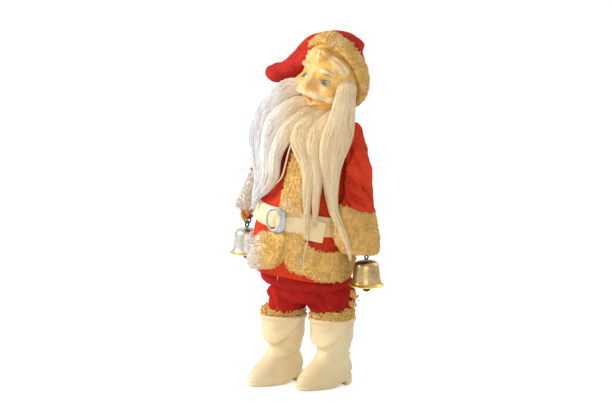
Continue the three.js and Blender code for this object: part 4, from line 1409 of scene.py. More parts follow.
class BuildBells(bpy.types.Operator):
    """Make the two hands, the wire rings and the bells with their clappers."""

    bl_idname = "doll.bells"
    bl_label = "Hands and bells"

    def execute(self, context):
        radius, height = sizes().bell_radius / MM, sizes().bell_height / MM
        brass = {
            "left": bell_material("pressed_brass_tarnished", "#BBA272", "#8E7A50"),
            # The right bell, where the strong window light falls, is painted pale silver-grey over its dome
            # as a painted highlight
            "right": bell_material("pressed_brass_painted_highlight", "#CFCCC2", "#A39F92"),
        }
        iron = plated_metal("blackened_iron_wire", "#5A5148", "#2A241E", 0.35, 0.6, 3.0)
        paint = painted_vinyl("painted_vinyl_hand", "paint")
        light, shade = np.array(linear("#E0A050")), np.array(linear("#B06A2A"))
        for name in SIDE:
            swing = joint_place(f"{name}_bell_swing")
            bell = f"{name}_bell"
            cup = bell_shape(radius, height)
            finished(f"{bell}_cup", cup, swing, brass[name], "bell_brass", bell, [bell])
            eye = ring_shape(2.6, 0.75, (0, 0, -0.85), "X")
            finished(f"{bell}_loop", eye, swing, iron, "steel_wire", bell, [f"{bell}_eye"])
            clapper = joint_place(f"{name}_clapper_swing")
            drop = height - 1.35 + 1.6
            line = [(0, 0, 0), (0, 0, -drop / 2), (0, 0, 3.6 - drop)]
            rod = swept(line, [0.7] * 3, [0.7] * 3, (1, 0, 0), 12, 6)
            body = f"{name}_clapper"
            finished(f"{body}_rod", rod, clapper, iron, "steel_wire", body, [f"{body}_wire"])
            ball = ball_shape(3.8, (0, 0, -drop))
            finished(f"{body}_drop", ball, clapper, iron, "steel_wire", body, [f"{body}_ball"])
            arm, place = f"{name}_arm", arm_place(name)
            levels = arm_levels(name)
            out = SIDE[name] * (levels(HAND_TOP)[1] + HAND_OUT[name])
            low = -HAND_TOP - 15 - 3.6
            ring = ring_shape(3.4, 0.7, (out, 0, low + 3.4), "Y")
            finished(f"{name}_hand_ring", ring, place, iron, "steel_wire", arm, [f"{name}_bell_ring"])
            bm = hand_shape(name)
            layer = bm.verts.layers.float_color.new("paint")
            for v in bm.verts:
                dark = eased(lumps(v.co, 4, 2.0), -0.1, 0.5)
                v[layer] = (*(light * (1 - dark) + shade * dark), 1)
            finished(f"{name}_hand_mould", bm, place, paint, "painted_plastic", arm, [f"{name}_hand"])
        return {"FINISHED"}


# Head. Angles are in degrees: across from the face's middle to the doll's left, and up from level.

# The face is rolled a little in the head, chin to the doll's right
FACE_ROLL = math.radians(5)
# Raised and sunk forms: across, up, height, half width, half height, tilt
ONE_SIDED = (
    (0, -8, 6.8, 7.6, 7.6, 0),  # nose
    (0, 3, 2.2, 7, 12, 0),  # bridge of the nose
    (0, -29, 4.8, 28, 13, 0),  # muzzle
    (-49, -20, 3.6, 14, 12, 0),  # the fuller far cheek
    (0, -17, 1.2, 7, 3.4, 0),  # fullness under the nose
    (0, -35.5, -5.6, 6, 4.2, 0),  # mouth
    (0, -42.5, 4.4, 9, 3.8, 0),  # lower lip
    (0, -48.5, -1.6, 13, 2.6, 0),  # crease under the lip
    (0, -56, 5.0, 18, 6.5, 0),  # chin
    (0, -69, 4.2, 26, 7, 0),  # second chin
    (54, 34, 4.8, 22, 11, -33),  # big wave of hair
    (36, 21, -1.2, 12, 3.6, -34),  # hollow under the wave
    (6, 46, 5.0, 13, 9, 12),  # curl over the forehead
    (6, 46, -2.6, 3.8, 3.0, 0),  # eye of the curl
    (-44, 36, 2.2, 14, 9, 30),  # hair on the other side
)
TWO_SIDED = (
    (8.5, -12, 2.4, 4.6, 4.4, 0),  # wings of the nose
    (37, -12.5, 6.0, 14, 9.5, 0),  # cheeks
    (27, 1, -3.6, 12, 7.5, 0),  # eye sockets
    (26.5, -1, 2.5, 8, 4.4, 0),  # eyeballs
    (26.5, 5.6, 1.3, 9.5, 2.2, -4),  # upper lids
    (26.5, -6.4, 0.9, 8, 2.0, 4),  # lower lids
    (30, 19, 4.0, 14, 5.4, -3),  # brows
    (20, -23, 4.4, 17, 5.6, -9),  # halves of the moustache
    (44, -26.5, 5.0, 9, 6.6, 20),  # their curled ends
    (44, -26, -1.4, 3.0, 2.4, 0),  # eyes of the curls
    (86, -8, 5.4, 7, 14, 6),  # ears
    (82, -9, -3.6, 4.2, 9, 6),  # hollows of the ears
)
HEAD_FORMS = ONE_SIDED + TWO_SIDED + tuple((-a, up, h, w, v, -t) for a, up, h, w, v, t in TWO_SIDED)
# Grooves combed into the moulded hair: across, up, half width, half height, tilt, depth, number
COMBED = (
    (30, 19, 13.5, 4.8, -3, 0.4, 1.9),
    (-30, 19, 13.5, 4.8, 3, 0.4, 1.9),
    (26, -24.5, 20, 6.2, -9, 0.55, 1.9),
    (-26, -24.5, 20, 6.2, 9, 0.55, 1.9),
    (54, 34, 23, 12, -33, 0.4, 2.6),
    (6, 46, 13, 10, 12, 0.7, 2.2),
    (-44, 36, 15, 10, 30, 0.6, 2.2),
)


def tilted(across, up, form_across, form_up, half_width, half_height, tilt):
    """Places on the face measured from a tilted oval's middle, in its own half widths."""
    dx = ((across - form_across + 180) % 360 - 180) * np.cos(np.radians(up))
    dz = up - form_up
    c, s = math.cos(math.radians(tilt)), math.sin(math.radians(tilt))
    return (dx * c + dz * s) / half_width, (-dx * s + dz * c) / half_height


def combed(across, up, spot, number):
    """How much of a combed form there is at these angles, and its waves."""
    u, v = tilted(across, up, *spot)
    inside = np.exp(-((u * u + v * v) ** 2) * 1.2)
    return inside, np.sin(v * number * math.pi + 1.5 * u * u + 2.0 * np.sin(1.6 * u))


def head_relief(across, up):
    """How far the moulded face stands off the plain skull at these angles."""
    lift = np.zeros_like(across)
    for form_across, form_up, height, wide, high, tilt in HEAD_FORMS:
        u, v = tilted(across, up, form_across, form_up, wide, high, tilt)
        lift += height * np.exp(-(u * u + v * v))
    for *spot, depth, number in COMBED:
        inside, wave = combed(across, up, spot, number)
        lift += depth * inside * wave
    return lift


def covered(across, up, spot, edge=0.18):
    """1 inside a tilted oval of paint, 0 outside, with a brushed edge."""
    u, v = tilted(across, up, *spot)
    return np.clip((1 - np.sqrt(u * u + v * v)) / edge + 0.5, 0, 1)


def face_paint(across, up, wobble):
    """The painted colours of the head, as linear red, green and blue."""
    skin = np.array(code(colours().skin))
    paint = np.tile(skin, (len(across), 1))

    def brush(mask, shade, strength=1.0):
        nonlocal paint
        share = (np.clip(mask, 0, 1) * strength)[:, None]
        paint = paint * (1 - share) + np.array(linear(shade)) * share

    def spots(mirror, *rows):
        masks = [covered(across, up, row, 0.3) for row in rows]
        if mirror:
            masks += [covered(across, up, (-r[0], r[1], r[2], r[3], -r[4]), 0.3) for r in rows]
        return np.max(masks, axis=0)

    brush(spots(False, (0, -5, 12, 13, 0)), "#E9C095", 0.5)
    brush(spots(True, (20, -14, 12, 7, 0)), "#E9BE90", 0.4)
    brush(spots(True, (27, 4, 13, 7, 0)), "#D9AC6C", 0.3)
    brush(spots(False, (0, -56, 17, 9, 0)), "#F2C466", 0.5)
    cream = "#F7E7C2"
    # An ochre rim, broadest above and beyond the raised wave of hair, is painted shade round it
    brush(covered(across, up + wobble, (58, 37, 24, 12, -33), 0.4), "#DDA548", 0.7)
    brush(covered(across, up + wobble, (51, 33, 22, 10.5, -33), 0.35), cream, 0.9)
    # Dark brown round the forehead curl, broadest towards the doll's left, is the painted shadow the raised
    # curl casts
    brush(covered(across, up + wobble, (9, 47, 16, 11.5, 12), 0.4), "#BE8838", 0.7)
    brush(covered(across, up + wobble, (6, 45.5, 12, 8.5, 12), 0.35), "#EBC678", 0.85)
    # The cream stripe down the curl's side towards the doll's right is a painted highlight
    brush(covered(across, up + wobble, (-1, 41, 3, 9, 10), 0.3), cream, 0.8)
    brush(covered(across, up + wobble, (-44, 36, 15, 9, 30), 0.3), cream, 0.8)
    for side in (1, -1):
        brush(covered(across, up, (29.5 * side, 18.6, 14.4, 5.4, -3 * side), 0.3), cream)
        brush(covered(across, up, (28 * side, 15.2, 8.5, 1.3, -5 * side), 0.6), "#6E5238", 0.75)
        brush(covered(across, up + wobble, (20 * side, -23.6, 19, 6.6, -9 * side), 0.25), cream)
        brush(covered(across, up, (43 * side, -27, 11, 7.8, 20 * side), 0.3), cream)
        # The brown line under each half of the moustache is the painted shadow it casts
        brush(covered(across, up, (22 * side, -31.4, 15, 2.0, -9 * side), 0.6), "#A8703A", 0.5)
        brush(covered(across, up, (26.5 * side, 0.3, 10.4, 5.4, 0), 0.35), "#8A6E50", 0.9)
        brush(covered(across, up, (26.5 * side, -0.8, 9.4, 4.3, 0), 0.3), "#CBD0D6")
        gaze = 25.0 if side > 0 else -28.5
        brush(covered(across, up, (gaze, -0.6, 5.6, 4.1, 0), 0.3), "#75829B")
        brush(covered(across, up, (gaze, -0.6, 2.2, 2.1, 0), 0.5), "#3A4252", 0.85)
        # The white dot in each eye is a painted glint
        brush(covered(across, up, (gaze + 1.8, 1.0, 1.2, 1.0, 0), 0.5), "#FFFFFF")
    brush(covered(across, up, (0, -42, 9, 3.6, 0), 0.4), "#F4CE80", 0.8)
    brush(covered(across, up, (0, -35.8, 6.2, 4.2, 0), 0.3), "#D63A1C")
    brush(covered(across, up, (0.5, -38.6, 5.0, 2.0, 0), 0.4), "#F0703A", 0.8)
    # The combed grooves of the moulded hair are darkened as painted shade
    painted_groove_shade = np.zeros_like(across)
    for *spot, _, number in COMBED:
        inside, wave = combed(across, up, spot, number)
        painted_groove_shade = np.maximum(painted_groove_shade, inside * np.clip(-wave, 0, 1))
    brush(painted_groove_shade, "#CDA05A", 0.45)
    return paint


def head_shape():
    bm = bmesh.new()
    bmesh.ops.create_uvsphere(bm, u_segments=288, v_segments=200, radius=1.0)
    directions = np.array([v.co for v in bm.verts])
    directions /= np.linalg.norm(directions, axis=1, keepdims=True)
    c, s = math.cos(FACE_ROLL), math.sin(FACE_ROLL)
    side, rise = directions[:, 0] * c - directions[:, 2] * s, directions[:, 0] * s + directions[:, 2] * c
    across = np.degrees(np.arctan2(side, -directions[:, 1]))
    up = np.degrees(np.arcsin(np.clip(rise, -1, 1)))
    plain = 1.0 / np.linalg.norm(directions / np.array(HEAD_HALF), axis=1)
    uneven = np.array([noise.noise(Vector(d) * 3.0) for d in directions])
    places = directions * (plain + head_relief(across, up) + 0.25 * uneven)[:, None]
    paint = face_paint(across, up, 1.6 * uneven)
    layer = bm.verts.layers.float_color.new("paint")
    for v, place, shade in zip(bm.verts, places, paint):
        v.co = place
        v[layer] = (*shade, 1.0)
    return bm


class BuildHead(bpy.types.Operator):
    """Make the moulded and painted head."""

    bl_idname = "doll.head"
    bl_label = "Head"

    def execute(self, context):
        paint = painted_vinyl("painted_vinyl_face", "paint")
        finished("head_mould", head_shape(), HEAD, paint, "painted_plastic", "head", ["head"])
        return {"FINISHED"}


# Cap. Its plush band lies in a plane that slopes from high over the forehead to low at the nape.

BAND_SLOPE = math.radians(60)
BAND_MIDDLE = Vector((0, 8.2, 4.8))
BAND_WAY = Vector((0, math.sin(BAND_SLOPE), math.cos(BAND_SLOPE)))
BAND_SIDE = Vector((1, 0, 0))
BAND_FORE = BAND_WAY.cross(BAND_SIDE)


def on_skull(angle, behind, thick):
    """A point over the skull in the band's plane moved back by `behind`, `thick` off the skull."""
    start = BAND_MIDDLE + BAND_WAY * behind
    way = BAND_SIDE * math.cos(angle) + BAND_FORE * math.sin(angle)
    half = [1.0 / (h + thick) for h in HEAD_HALF]
    p = Vector([start[i] * half[i] for i in range(3)])
    d = Vector([way[i] * half[i] for i in range(3)])
    a, b, c = d.dot(d), p.dot(d), p.dot(p) - 1
    return start + way * ((-b + math.sqrt(max(b * b - a * c, 0.0))) / a)


def cap_shape():
    bm = bmesh.new()
    bmesh.ops.create_uvsphere(bm, u_segments=64, v_segments=44, radius=1.0)
    half = Matrix.Diagonal([h + 2.8 for h in HEAD_HALF] + [1])
    bmesh.ops.transform(bm, matrix=half, verts=bm.verts)
    cut = BAND_MIDDLE + BAND_WAY * 2
    geometry = bm.verts[:] + bm.edges[:] + bm.faces[:]
    bmesh.ops.bisect_plane(bm, geom=geometry, plane_co=cut, plane_no=-BAND_WAY, clear_outer=True)
    bmesh.ops.holes_fill(bm, edges=[e for e in bm.edges if e.is_boundary], sides=0)
    line = [(17, 13, 23), (6, 8, 27), (-8, 4, 26), (-21, -1, 17.5), (-33, -6, 5), (-44, -10, -4)]
    line += [(-54, -13, -8), (-62, -14, -7)]
    wide = [8, 11, 12, 12.5, 11, 9.4, 8.8, 4]
    tail = swept(line, wide, [8, 10, 11, 13, 10.5, 8.6, 8.4, 4], (0, 1, 0), 48, 60)
    bm = merged(joined(bm, tail), 1.15, 4)
    for v in bm.verts:
        v.co += cap_folds(v.co)
    softened(bm, 0.4)
    return bm


# Dents in the cap: start, end, width, depth
CAP_FOLDS = (
    ((22, 2, 37), (-18, -4, 36), 2.2, 2.0),
    ((18, 20, 33), (-18, 14, 26), 3.0, 1.8),
    ((-14, -10, 30), (-40, -20, 2), 2.4, 2.0),
    ((-26, 10, 18), (-44, 0, -6), 2.6, 1.5),
    ((-34, -14, 14), (-40, -4, -14), 2.2, 2.4),
    ((-30, -6, 16), (-30, -18, 4), 2.0, 1.6),
    ((22, 22, 20), (10, 30, 4), 3.0, 1.4),
    ((-12, 24, 16), (-4, 30, 2), 3.0, 1.4),
    ((26, 8, 24), (20, -4, 33), 2.2, 1.6),
)


def cap_folds(point):
    """Where a point of the cap goes for the felt's folds."""
    middle = Vector((min(point.x, 0) * 0.9, 2 - 0.25 * abs(min(point.x, 0)), 26 + 0.68 * min(point.x, 0)))
    if point.x > -14:
        middle = Vector((0, 0, 0))
    out = (point - middle).normalized()
    lift = 0.8 * lumps(point, 12, 11.0) + 0.35 * lumps(point, 5, 1.0)
    for start, end, width, depth in CAP_FOLDS:
        lift -= depth * crease(point, start, end, width)
    return out * lift


def band_shape():
    def place(turn, length):
        angle, around = math.tau * turn, math.tau * length
        behind = 7.4 * fuller(math.cos(around), 0.8)
        thick = 2.9 + 2.3 * fuller(math.sin(around), 0.75)
        point = on_skull(angle, behind, thick)
        if math.sin(around) > 0.1:
            point += point.normalized() * (0.9 * lumps(point, 8, 7.0) + 0.5 * lumps(point, 4, 2.0))
        return point

    return wrapped(150, 44, place)


class BuildCap(bpy.types.Operator):
    """Make the felt cap with its hanging tail."""

    bl_idname = "doll.cap"
    bl_label = "Cap"

    def execute(self, context):
        felt = wool_felt("brushed_wool_felt_cap", "#C4362C", "#9C1E1C", 1.0)
        finished("cap_cloth", cap_shape(), HEAD, felt, "coat_felt", "head", ["hat"])
        return {"FINISHED"}


# Plush trim


def hem_shape():
    """The thick roll of plush round the coat's hem, parted at the front, where it also rises."""

    def place(turn, length):
        angle, around = math.tau * turn, math.tau * length
        rise, over = fuller(math.sin(around), 0.85), math.cos(around)
        front = angle_gap(angle, math.radians(-84)) / 0.62
        height = 113.6 + 13.0 * rise + 0.5 * hem_edge(angle) * (1.25 - rise)
        height += 13.0 * math.exp(-(front**4)) * eased(rise, -0.2, 1.0)
        _, x, y, a, b = COAT(max(height, COAT_LOW))
        out = 1.9 + 1.9 * fuller(over, 0.7)
        rough = Vector((math.cos(angle) * 44, math.sin(angle) * 44, height))
        if over > 0.1:
            part = PARTING + 0.14 * rise
            out += 1.3 * lumps(rough, 11, 2.0) + 0.7 * lumps(rough, 5, 5.0)
            out -= 3.6 * hill(angle_gap(angle, part), 0, 0.05)
            out += 1.8 * hill(angle_gap(angle, math.radians(-108)), 0, 0.42)
        height += 1.2 * lumps(rough * 0.5, 8, 9.0)
        return Vector((x + (a + out) * math.cos(angle), y + (b + out) * math.sin(angle), height))

    return wrapped(220, 44, place)


# How far each cuff stands in from its sleeve, and how far its front swells over the coat
CUFF_INSET = {"left": 1.5, "right": 2.8}
CUFF_SWELL = {"left": 8.5, "right": 0.0}


def cuff_shape(name):
    levels = arm_levels(name)
    side = SIDE[name]
    low = SLEEVE_LENGTH[name] + CUFF_GAP + CUFF_LENGTH[name]

    def place(turn, along):
        angle, around = math.tau * turn, math.tau * along
        top = SLEEVE_LENGTH[name] + CUFF_GAP - cuff_rise(angle)
        down = top + (low - top) * (0.5 - 0.5 * fuller(math.sin(around), 0.85))
        out = 2.1 * fuller(math.cos(around), 0.7) - CUFF_INSET[name]
        inner = math.pi if side > 0 else 0.0
        corner = angle_gap(inner + side * math.radians(52), 0)
        out += CUFF_SWELL[name] * hill(angle_gap(angle, corner), 0, 0.75) * hill(down, 67, 17)
        point = on_arm(name, levels, turn, down)
        if math.cos(around) > 0.1:
            out += 0.9 * lumps(point, 9, 3.0) + 0.6 * lumps(point, 4.5, 8.0)
        return on_arm(name, levels, turn, down, out) + Vector((drawn_in(name, down), 0, 0))

    return wrapped(110, 44, place)


class BuildPlush(bpy.types.Operator):
    """Make the plush trim of the coat, the sleeves and the cap."""

    bl_idname = "doll.plush"
    bl_label = "Plush trim"

    def execute(self, context):
        shades = colours()
        plush = pile_fabric(
            "aged_acrylic_pile_with_painted_highlight", code(shades.plush), code(shades.plush_dark), code(shades.plush_aged)
        )
        length = sizes().pile / MM
        hem, upper = hem_shape(), front_strip(157, 224, 3.2, 4.0)
        lower = front_strip(124, 143, 3.0, 6.0)
        rows = [
            ("hem_roll", hem, FIGURE, "torso", "coat_hem_trim", 9900, 1.0),
            ("front_strip_upper", upper, FIGURE, "torso", "front_trim_upper", 5000, 0.6),
            ("front_strip_lower", lower, FIGURE, "torso", "front_trim_lower", 1500, 0.6),
            ("cap_band", band_shape(), HEAD, "head", "hat_trim", 7000, 0.8),
        ]
        for name in SIDE:
            arm, place = f"{name}_arm", arm_place(name)
            rows.append((f"{name}_cuff_roll", cuff_shape(name), place, arm, f"{name}_cuff", 7000, 0.8))
        for number, (name, bm, place, body, node, count, share) in enumerate(rows):
            base = finished(name, bm, place, plush, "plush", body, [node])
            pile(f"{name}_pile", base, count, length * share, plush, "plush", body, 7 + number)
        return {"FINISHED"}


# Beard: locks of combed fibre in the figure's frame, with loose strands over them

# The camera's sideways way, across which the locks spread flat
SPREAD = (0.848, 0.53, 0)
# Each lock: its line from the root down, half widths, half depths and how many strands it has
LOCKS = (
    (
        [
            (-8, -12, 262), (-24, -20, 256), (-36, -26, 238), (-42, -27, 218), (-42, -28, 204),
            (-39, -30, 191), (-35, -34, 179.7), (-33.8, -41, 169.5), (-32.9, -46, 162),
            (-31.6, -49, 154.3),
        ],
        [5, 9, 10.5, 10.5, 9, 7.4, 5, 3.2, 1.8, 0.6],
        [4, 6, 6.5, 6.5, 6, 5, 4, 2.6, 1.6, 0.6],
        1000,
    ),
    (
        [
            (-4, -12, 250), (-16, -25, 243), (-26, -31.5, 229), (-31, -32, 215), (-31.7, -34, 202.6),
            (-29.4, -37, 190.8), (-27, -41, 180.4), (-27.6, -46.5, 169.5), (-29.4, -49.5, 161.1),
        ],
        [4, 7.4, 8.6, 6.8, 5.4, 4.8, 3.6, 2.4, 0.8],
        [4.5, 6, 6, 5, 4.4, 3.6, 3, 2.2, 0.8],
        860,
    ),
    (
        [
            (1, -10, 245), (-6, -24, 238), (-13.5, -32.5, 225), (-20.6, -34, 210.3), (-22, -37, 198.9),
            (-19.5, -41, 190.5), (-17.3, -45, 182), (-20.6, -49, 173.5), (-25.9, -51, 166.3),
        ],
        [3, 5.4, 6.8, 5, 4.2, 3.8, 3.2, 2.4, 0.8],
        [4.5, 5, 4.8, 4, 3.4, 3, 2.6, 2, 0.8],
        700,
    ),
    (
        [
            (6, -8, 242), (6, -22, 235.5), (1.5, -31.5, 227.5), (1.4, -34, 218.1), (6.4, -37, 210.2),
            (12.5, -39.5, 202.2), (16.6, -43, 192), (18.5, -47, 181.4), (20.4, -50, 171.6),
            (23.3, -52.5, 163), (25.9, -54, 152), (27.5, -55, 141),
        ],
        [4, 6.8, 9, 9.4, 8, 6.6, 4.4, 3.2, 2.4, 1.8, 1.1, 0.4],
        [4.5, 5.4, 5.6, 5.4, 4.8, 4, 3, 2.4, 1.9, 1.5, 1, 0.4],
        920,
    ),
    (
        [
            (15, -7, 243), (16.5, -20, 236.5), (13, -31, 227), (12.6, -35, 215.2), (16, -37, 205.7),
            (21.4, -39.5, 195.6), (24.4, -42, 185), (26.8, -46, 174.4), (29.3, -49, 163.8),
            (31, -50.5, 152),
        ],
        [4, 6, 6.2, 5.2, 4.4, 3.6, 2.9, 2.4, 1.8, 0.7],
        [4.5, 5, 4.8, 4.2, 3.6, 3, 2.5, 2, 1.5, 0.7],
        640,
    ),
    (
        [
            (19, -4, 273), (28.5, -15, 264.5), (31, -20.5, 254.5), (32.4, -24.5, 244.1),
            (32.4, -27, 234.2), (30.6, -29, 223.5), (29.8, -31, 213), (30, -32.5, 202.7),
            (32, -34, 192.7), (34.3, -35.5, 182.8), (37.4, -37, 172.9), (42, -39, 163),
            (50, -40.5, 154.5), (56, -41.5, 146.7), (61, -41.5, 137), (63.5, -41, 128),
        ],
        [6.5, 7.6, 8.2, 9.4, 11.2, 11.4, 9.6, 7.6, 6, 4.6, 3.4, 2.5, 1.9, 1.5, 1.1, 0.4],
        [3, 4.2, 4.8, 5.4, 6, 5.6, 5, 4.4, 3.6, 2.8, 2.2, 1.7, 1.3, 1.1, 0.9, 0.4],
        1150,
    ),
)
# Loose strands that have come away: line, half width
STRAYS = (
    ([(-6, -33, 229), (-9.8, -36, 207.7), (-9.7, -40, 195.6), (-9.5, -44, 186.7), (-12, -48, 180)], 0.7),
    ([(-36, -33, 196), (-38, -37, 180), (-37, -42, 168), (-36, -44, 158), (-39, -44, 150)], 0.45),
    ([(25.9, -54, 152), (28.2, -56, 139.6), (26.9, -57, 128.4), (27.3, -57.5, 116.5)], 0.4),
    ([(33, -34, 190), (38, -37, 176), (41, -39, 163), (46, -41.5, 152), (49, -43, 140)], 0.45),
)


def lock_strands(lock, random, count, points=11):
    """Paths of a lock's strands: they keep their place across it and wander a little."""
    line, widths, depths, _ = lock
    samples = 60
    course = Levels([[i, *p] for i, p in enumerate(line)])
    last = len(line) - 1
    middles = np.array([course(last * i / samples)[1:] for i in range(samples + 1)])
    ways = np.gradient(middles, axis=0)
    ways /= np.linalg.norm(ways, axis=1, keepdims=True)
    spread = np.array(SPREAD)
    side = spread - ways * (ways @ spread)[:, None]
    side /= np.linalg.norm(side, axis=1, keepdims=True)
    other = np.cross(ways, side)
    wide = np.interp(np.linspace(0, len(widths) - 1, samples + 1), range(len(widths)), widths)
    deep = np.interp(np.linspace(0, len(depths) - 1, samples + 1), range(len(depths)), depths)
    start = random.uniform(0.0, 0.12, (count, 1))
    end = np.minimum(random.uniform(0.72, 1.12, (count, 1)), 1.0)
    t = start + (end - start) * np.linspace(0, 1, points)[None, :]
    spot = t * samples
    low = np.clip(spot.astype(int), 0, samples - 1)
    share = spot - low

    def read(values):
        if values.ndim == 2:
            return values[low] * (1 - share[..., None]) + values[low + 1] * share[..., None]
        return values[low] * (1 - share) + values[low + 1] * share

    angle = random.uniform(0, math.tau, (count, 1))
    angle = angle + 0.3 * np.sin(3 * t + random.uniform(0, 6, (count, 1)))
    reach = random.uniform(0.96, 1.07, (count, 1)) + 0.14 * t * np.abs(random.normal(0, 1, (count, 1)))
    out_wide = (read(wide) + 0.1) * reach * np.cos(angle)
    out_deep = (read(deep) + 0.1) * reach * np.sin(angle)
    paths = read(middles) + read(side) * out_wide[..., None] + read(other) * out_deep[..., None]
    sway = random.uniform(0.1, 0.7, (count, 1)) * np.sin(7 * t + random.uniform(0, 6, (count, 1)))
    paths += read(side) * (sway * t)[..., None]
    return paths


class BuildBeard(bpy.types.Operator):
    """Make the beard of combed fibre, which rides on no body and hangs still."""

    bl_idname = "doll.beard"
    bl_label = "Beard"

    def execute(self, context):
        shades = colours()
        # F6F5F7 is the painted highlight white for the beard's lit side
        cream, tan, painted_highlight_white = code(shades.beard), code(shades.beard_shade), "#F6F5F7"
        combed = combed_fibre("combed_acrylic_locks", cream, tan, painted_highlight_white, (34.0, 1.6, 1.0))
        loose = combed_fibre("combed_acrylic_strands", cream, tan, painted_highlight_white)
        parts = [
            swept(line, widths, depths, SPREAD, 72, 84, 0.018, number * 1.7)
            for number, (line, widths, depths, _) in enumerate(LOCKS)
        ]
        strays = [swept(line, [half] * 4 + [0.2], [half] * 4 + [0.2], SPREAD, 8, 24) for line, half in STRAYS]
        core = joined(*parts, *strays)
        pieces = [finished("beard_locks", core, FIGURE, combed, "beard_fibre", None, ["beard"])]
        turn, place = np.array(FIGURE.to_3x3()), np.array(FIGURE.translation)
        for number, lock in enumerate(LOCKS):
            random = np.random.default_rng(100 + number)
            count = lock[3]
            paths = lock_strands(lock, random, count) @ turn.T + place
            taper = np.interp(np.linspace(0, 1, paths.shape[1]), [0, 0.1, 0.7, 1], [0.5, 1, 0.8, 0.15])
            thick = 0.27 * MM * taper * random.uniform(0.6, 1.4, (count, 1))
            pieces.append(fibres(f"beard_strands_{number + 1}", paths, thick, loose, "beard_fibre"))
        for made in pieces:
            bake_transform(made)
        return {"FINISHED"}


# The solids that stay as they are, and the stage


class FinishSolids(bpy.types.Operator):
    """Give the solids inside the doll their wood and wadding."""

    bl_idname = "doll.solids"
    bl_label = "Pegs and stuffing"

    def execute(self, context):
        wood = turned_wood("turned_softwood", "#C49A68", "#9A6E40")
        wadding = cotton_stuffing("cotton_wadding", "#D8CFBE", "#A89A84")
        lining = cotton_stuffing("felt_lining", "#8E2A22", "#5E1512")
        looks = {
            "neck_post": wood,
            "hip_block": wood,
            "torso_core": wadding,
            "left_leg_post": wood,
            "right_leg_post": wood,
            "left_boot_plug": wood,
            "right_boot_plug": wood,
            "left_arm_core": lining,
            "right_arm_core": lining,
        }
        for name, look in looks.items():
            data = frame["nodes"][name].data
            data.materials.clear()
            data.materials.append(look)
        return {"FINISHED"}


# How much the floor glows where it is seen or mirrored, and how much of the light from all
# round falls on the doll, where what is seen of it is 1
FLOOR_GLOW = 0.5
SOFT_LIGHT = 0.42


def lamp(name, place, aim, size, power, shade="#FFFFFF"):
    """A soft square lamp that faces a point."""
    data = bpy.data.lights.new(name, "AREA")
    data.energy = power
    data.size = size
    data.color = linear(shade)
    made = bpy.data.objects.new(name, data)
    made.location = place
    made.rotation_euler = (Vector(aim) - Vector(place)).to_track_quat("-Z", "Y").to_euler()
    bpy.context.scene.collection.objects.link(made)
    return made


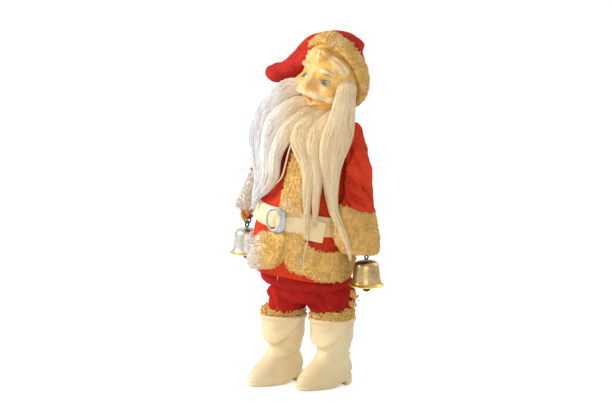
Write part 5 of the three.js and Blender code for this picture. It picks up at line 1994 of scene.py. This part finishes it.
class BuildStage(bpy.types.Operator):
    """Make the pale floor, the soft lamps and the camera."""

    bl_idname = "doll.stage"
    bl_label = "Stage"

    def execute(self, context):
        scene = context.scene
        bm = bmesh.new()
        bmesh.ops.create_grid(bm, x_segments=1, y_segments=1, size=6.0)
        bmesh.ops.translate(bm, verts=bm.verts, vec=(0, 0, -0.0002))
        mesh = bpy.data.meshes.new("floor")
        bm.to_mesh(mesh)
        bm.free()
        floor = bpy.data.objects.new("floor", mesh)
        scene.collection.objects.link(floor)
        made, tree, shader = new_material("white_paper")
        surfaced(shader, {"Base Color": rgba("#F2F2F0"), "Roughness": 0.9, "Specular IOR Level": 0.1})
        path = add(tree, "ShaderNodeLightPath")
        seen = either(tree, path.outputs["Is Camera Ray"], path.outputs["Is Glossy Ray"])
        strength = add(tree, "ShaderNodeMath", {0: seen, 1: FLOOR_GLOW}, operation="MULTIPLY")
        shader.inputs["Emission Color"].default_value = (1, 1, 1, 1)
        tree.links.new(strength.outputs[0], shader.inputs["Emission Strength"])
        mesh.materials.append(made)

        world = bpy.data.worlds.new("studio")
        world.use_nodes = True
        scene.world = world
        tree = world.node_tree
        tree.nodes.clear()
        path = add(tree, "ShaderNodeLightPath")
        seen = either(tree, path.outputs["Is Camera Ray"], path.outputs["Is Glossy Ray"])
        seen = either(tree, seen, path.outputs["Is Transmission Ray"])
        soft = add(tree, "ShaderNodeMapRange", {"Value": seen, "To Min": SOFT_LIGHT, "To Max": 1.0})
        back = add(tree, "ShaderNodeBackground", {"Color": (1, 1, 1, 1), "Strength": soft.outputs["Result"]})
        out = add(tree, "ShaderNodeOutputWorld", {"Surface": back.outputs["Background"]})
        out.is_active_output = True

        aim = (0, 0, 0.16)
        lamp("window_lamp", (-1.3, -0.9, 1.0), aim, 0.7, 27.0, "#FFFDFA")
        lamp("front_lamp", (0.9, -1.8, 0.8), aim, 1.2, 12.0, "#FFF8EE")
        lamp("rim_lamp", (0.8, 1.4, 1.2), aim, 1.0, 8.0)

        data = bpy.data.cameras.new("camera")
        data.sensor_width = 36.0
        data.lens = 36.0 / VIEW_WIDTH * VIEW_AWAY
        camera = bpy.data.objects.new("camera", data)
        scene.collection.objects.link(camera)
        back_way = Vector(
            (
                math.sin(VIEW_TURN) * math.cos(VIEW_RISE),
                -math.cos(VIEW_TURN) * math.cos(VIEW_RISE),
                math.sin(VIEW_RISE),
            )
        )
        camera.location = VIEW_AIM + back_way * VIEW_AWAY
        camera.rotation_euler = (-back_way).to_track_quat("-Z", "Y").to_euler()
        data.clip_start, data.clip_end = 0.1, 50.0
        scene.camera = camera
        scene.view_settings.view_transform = "Standard"
        return {"FINISHED"}


STEPS = (
    BuildCoat,
    BuildTrousers,
    BuildBoots,
    BuildBelt,
    BuildBells,
    BuildHead,
    BuildCap,
    BuildPlush,
    BuildBeard,
    FinishSolids,
    BuildStage,
)


class DollPanel(bpy.types.Panel):
    """Lists the doll's sizes, colours and pieces."""

    bl_idname = "VIEW3D_PT_doll"
    bl_label = "Santa Claus doll"
    bl_space_type = "VIEW_3D"
    bl_region_type = "UI"
    bl_category = "Doll"

    def draw(self, context):
        for group in (context.scene.doll_sizes, context.scene.doll_colours):
            box = self.layout.box()
            for name in group.__annotations__:
                box.prop(group, name)
        for step in STEPS:
            self.layout.operator(step.bl_idname)


CLASSES = (DollSizes, DollColours, *STEPS, DollPanel)


def register():
    for made in CLASSES:
        bpy.utils.register_class(made)
    bpy.types.Scene.doll_sizes = bpy.props.PointerProperty(type=DollSizes)
    bpy.types.Scene.doll_colours = bpy.props.PointerProperty(type=DollColours)


def unregister():
    del bpy.types.Scene.doll_colours
    del bpy.types.Scene.doll_sizes
    for made in reversed(CLASSES):
        bpy.utils.unregister_class(made)


def main():
    """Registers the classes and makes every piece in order."""
    register()
    for step in STEPS:
        group, call = step.bl_idname.split(".")
        getattr(getattr(bpy.ops, group), call)()


if __name__ == "__main__":
    main()
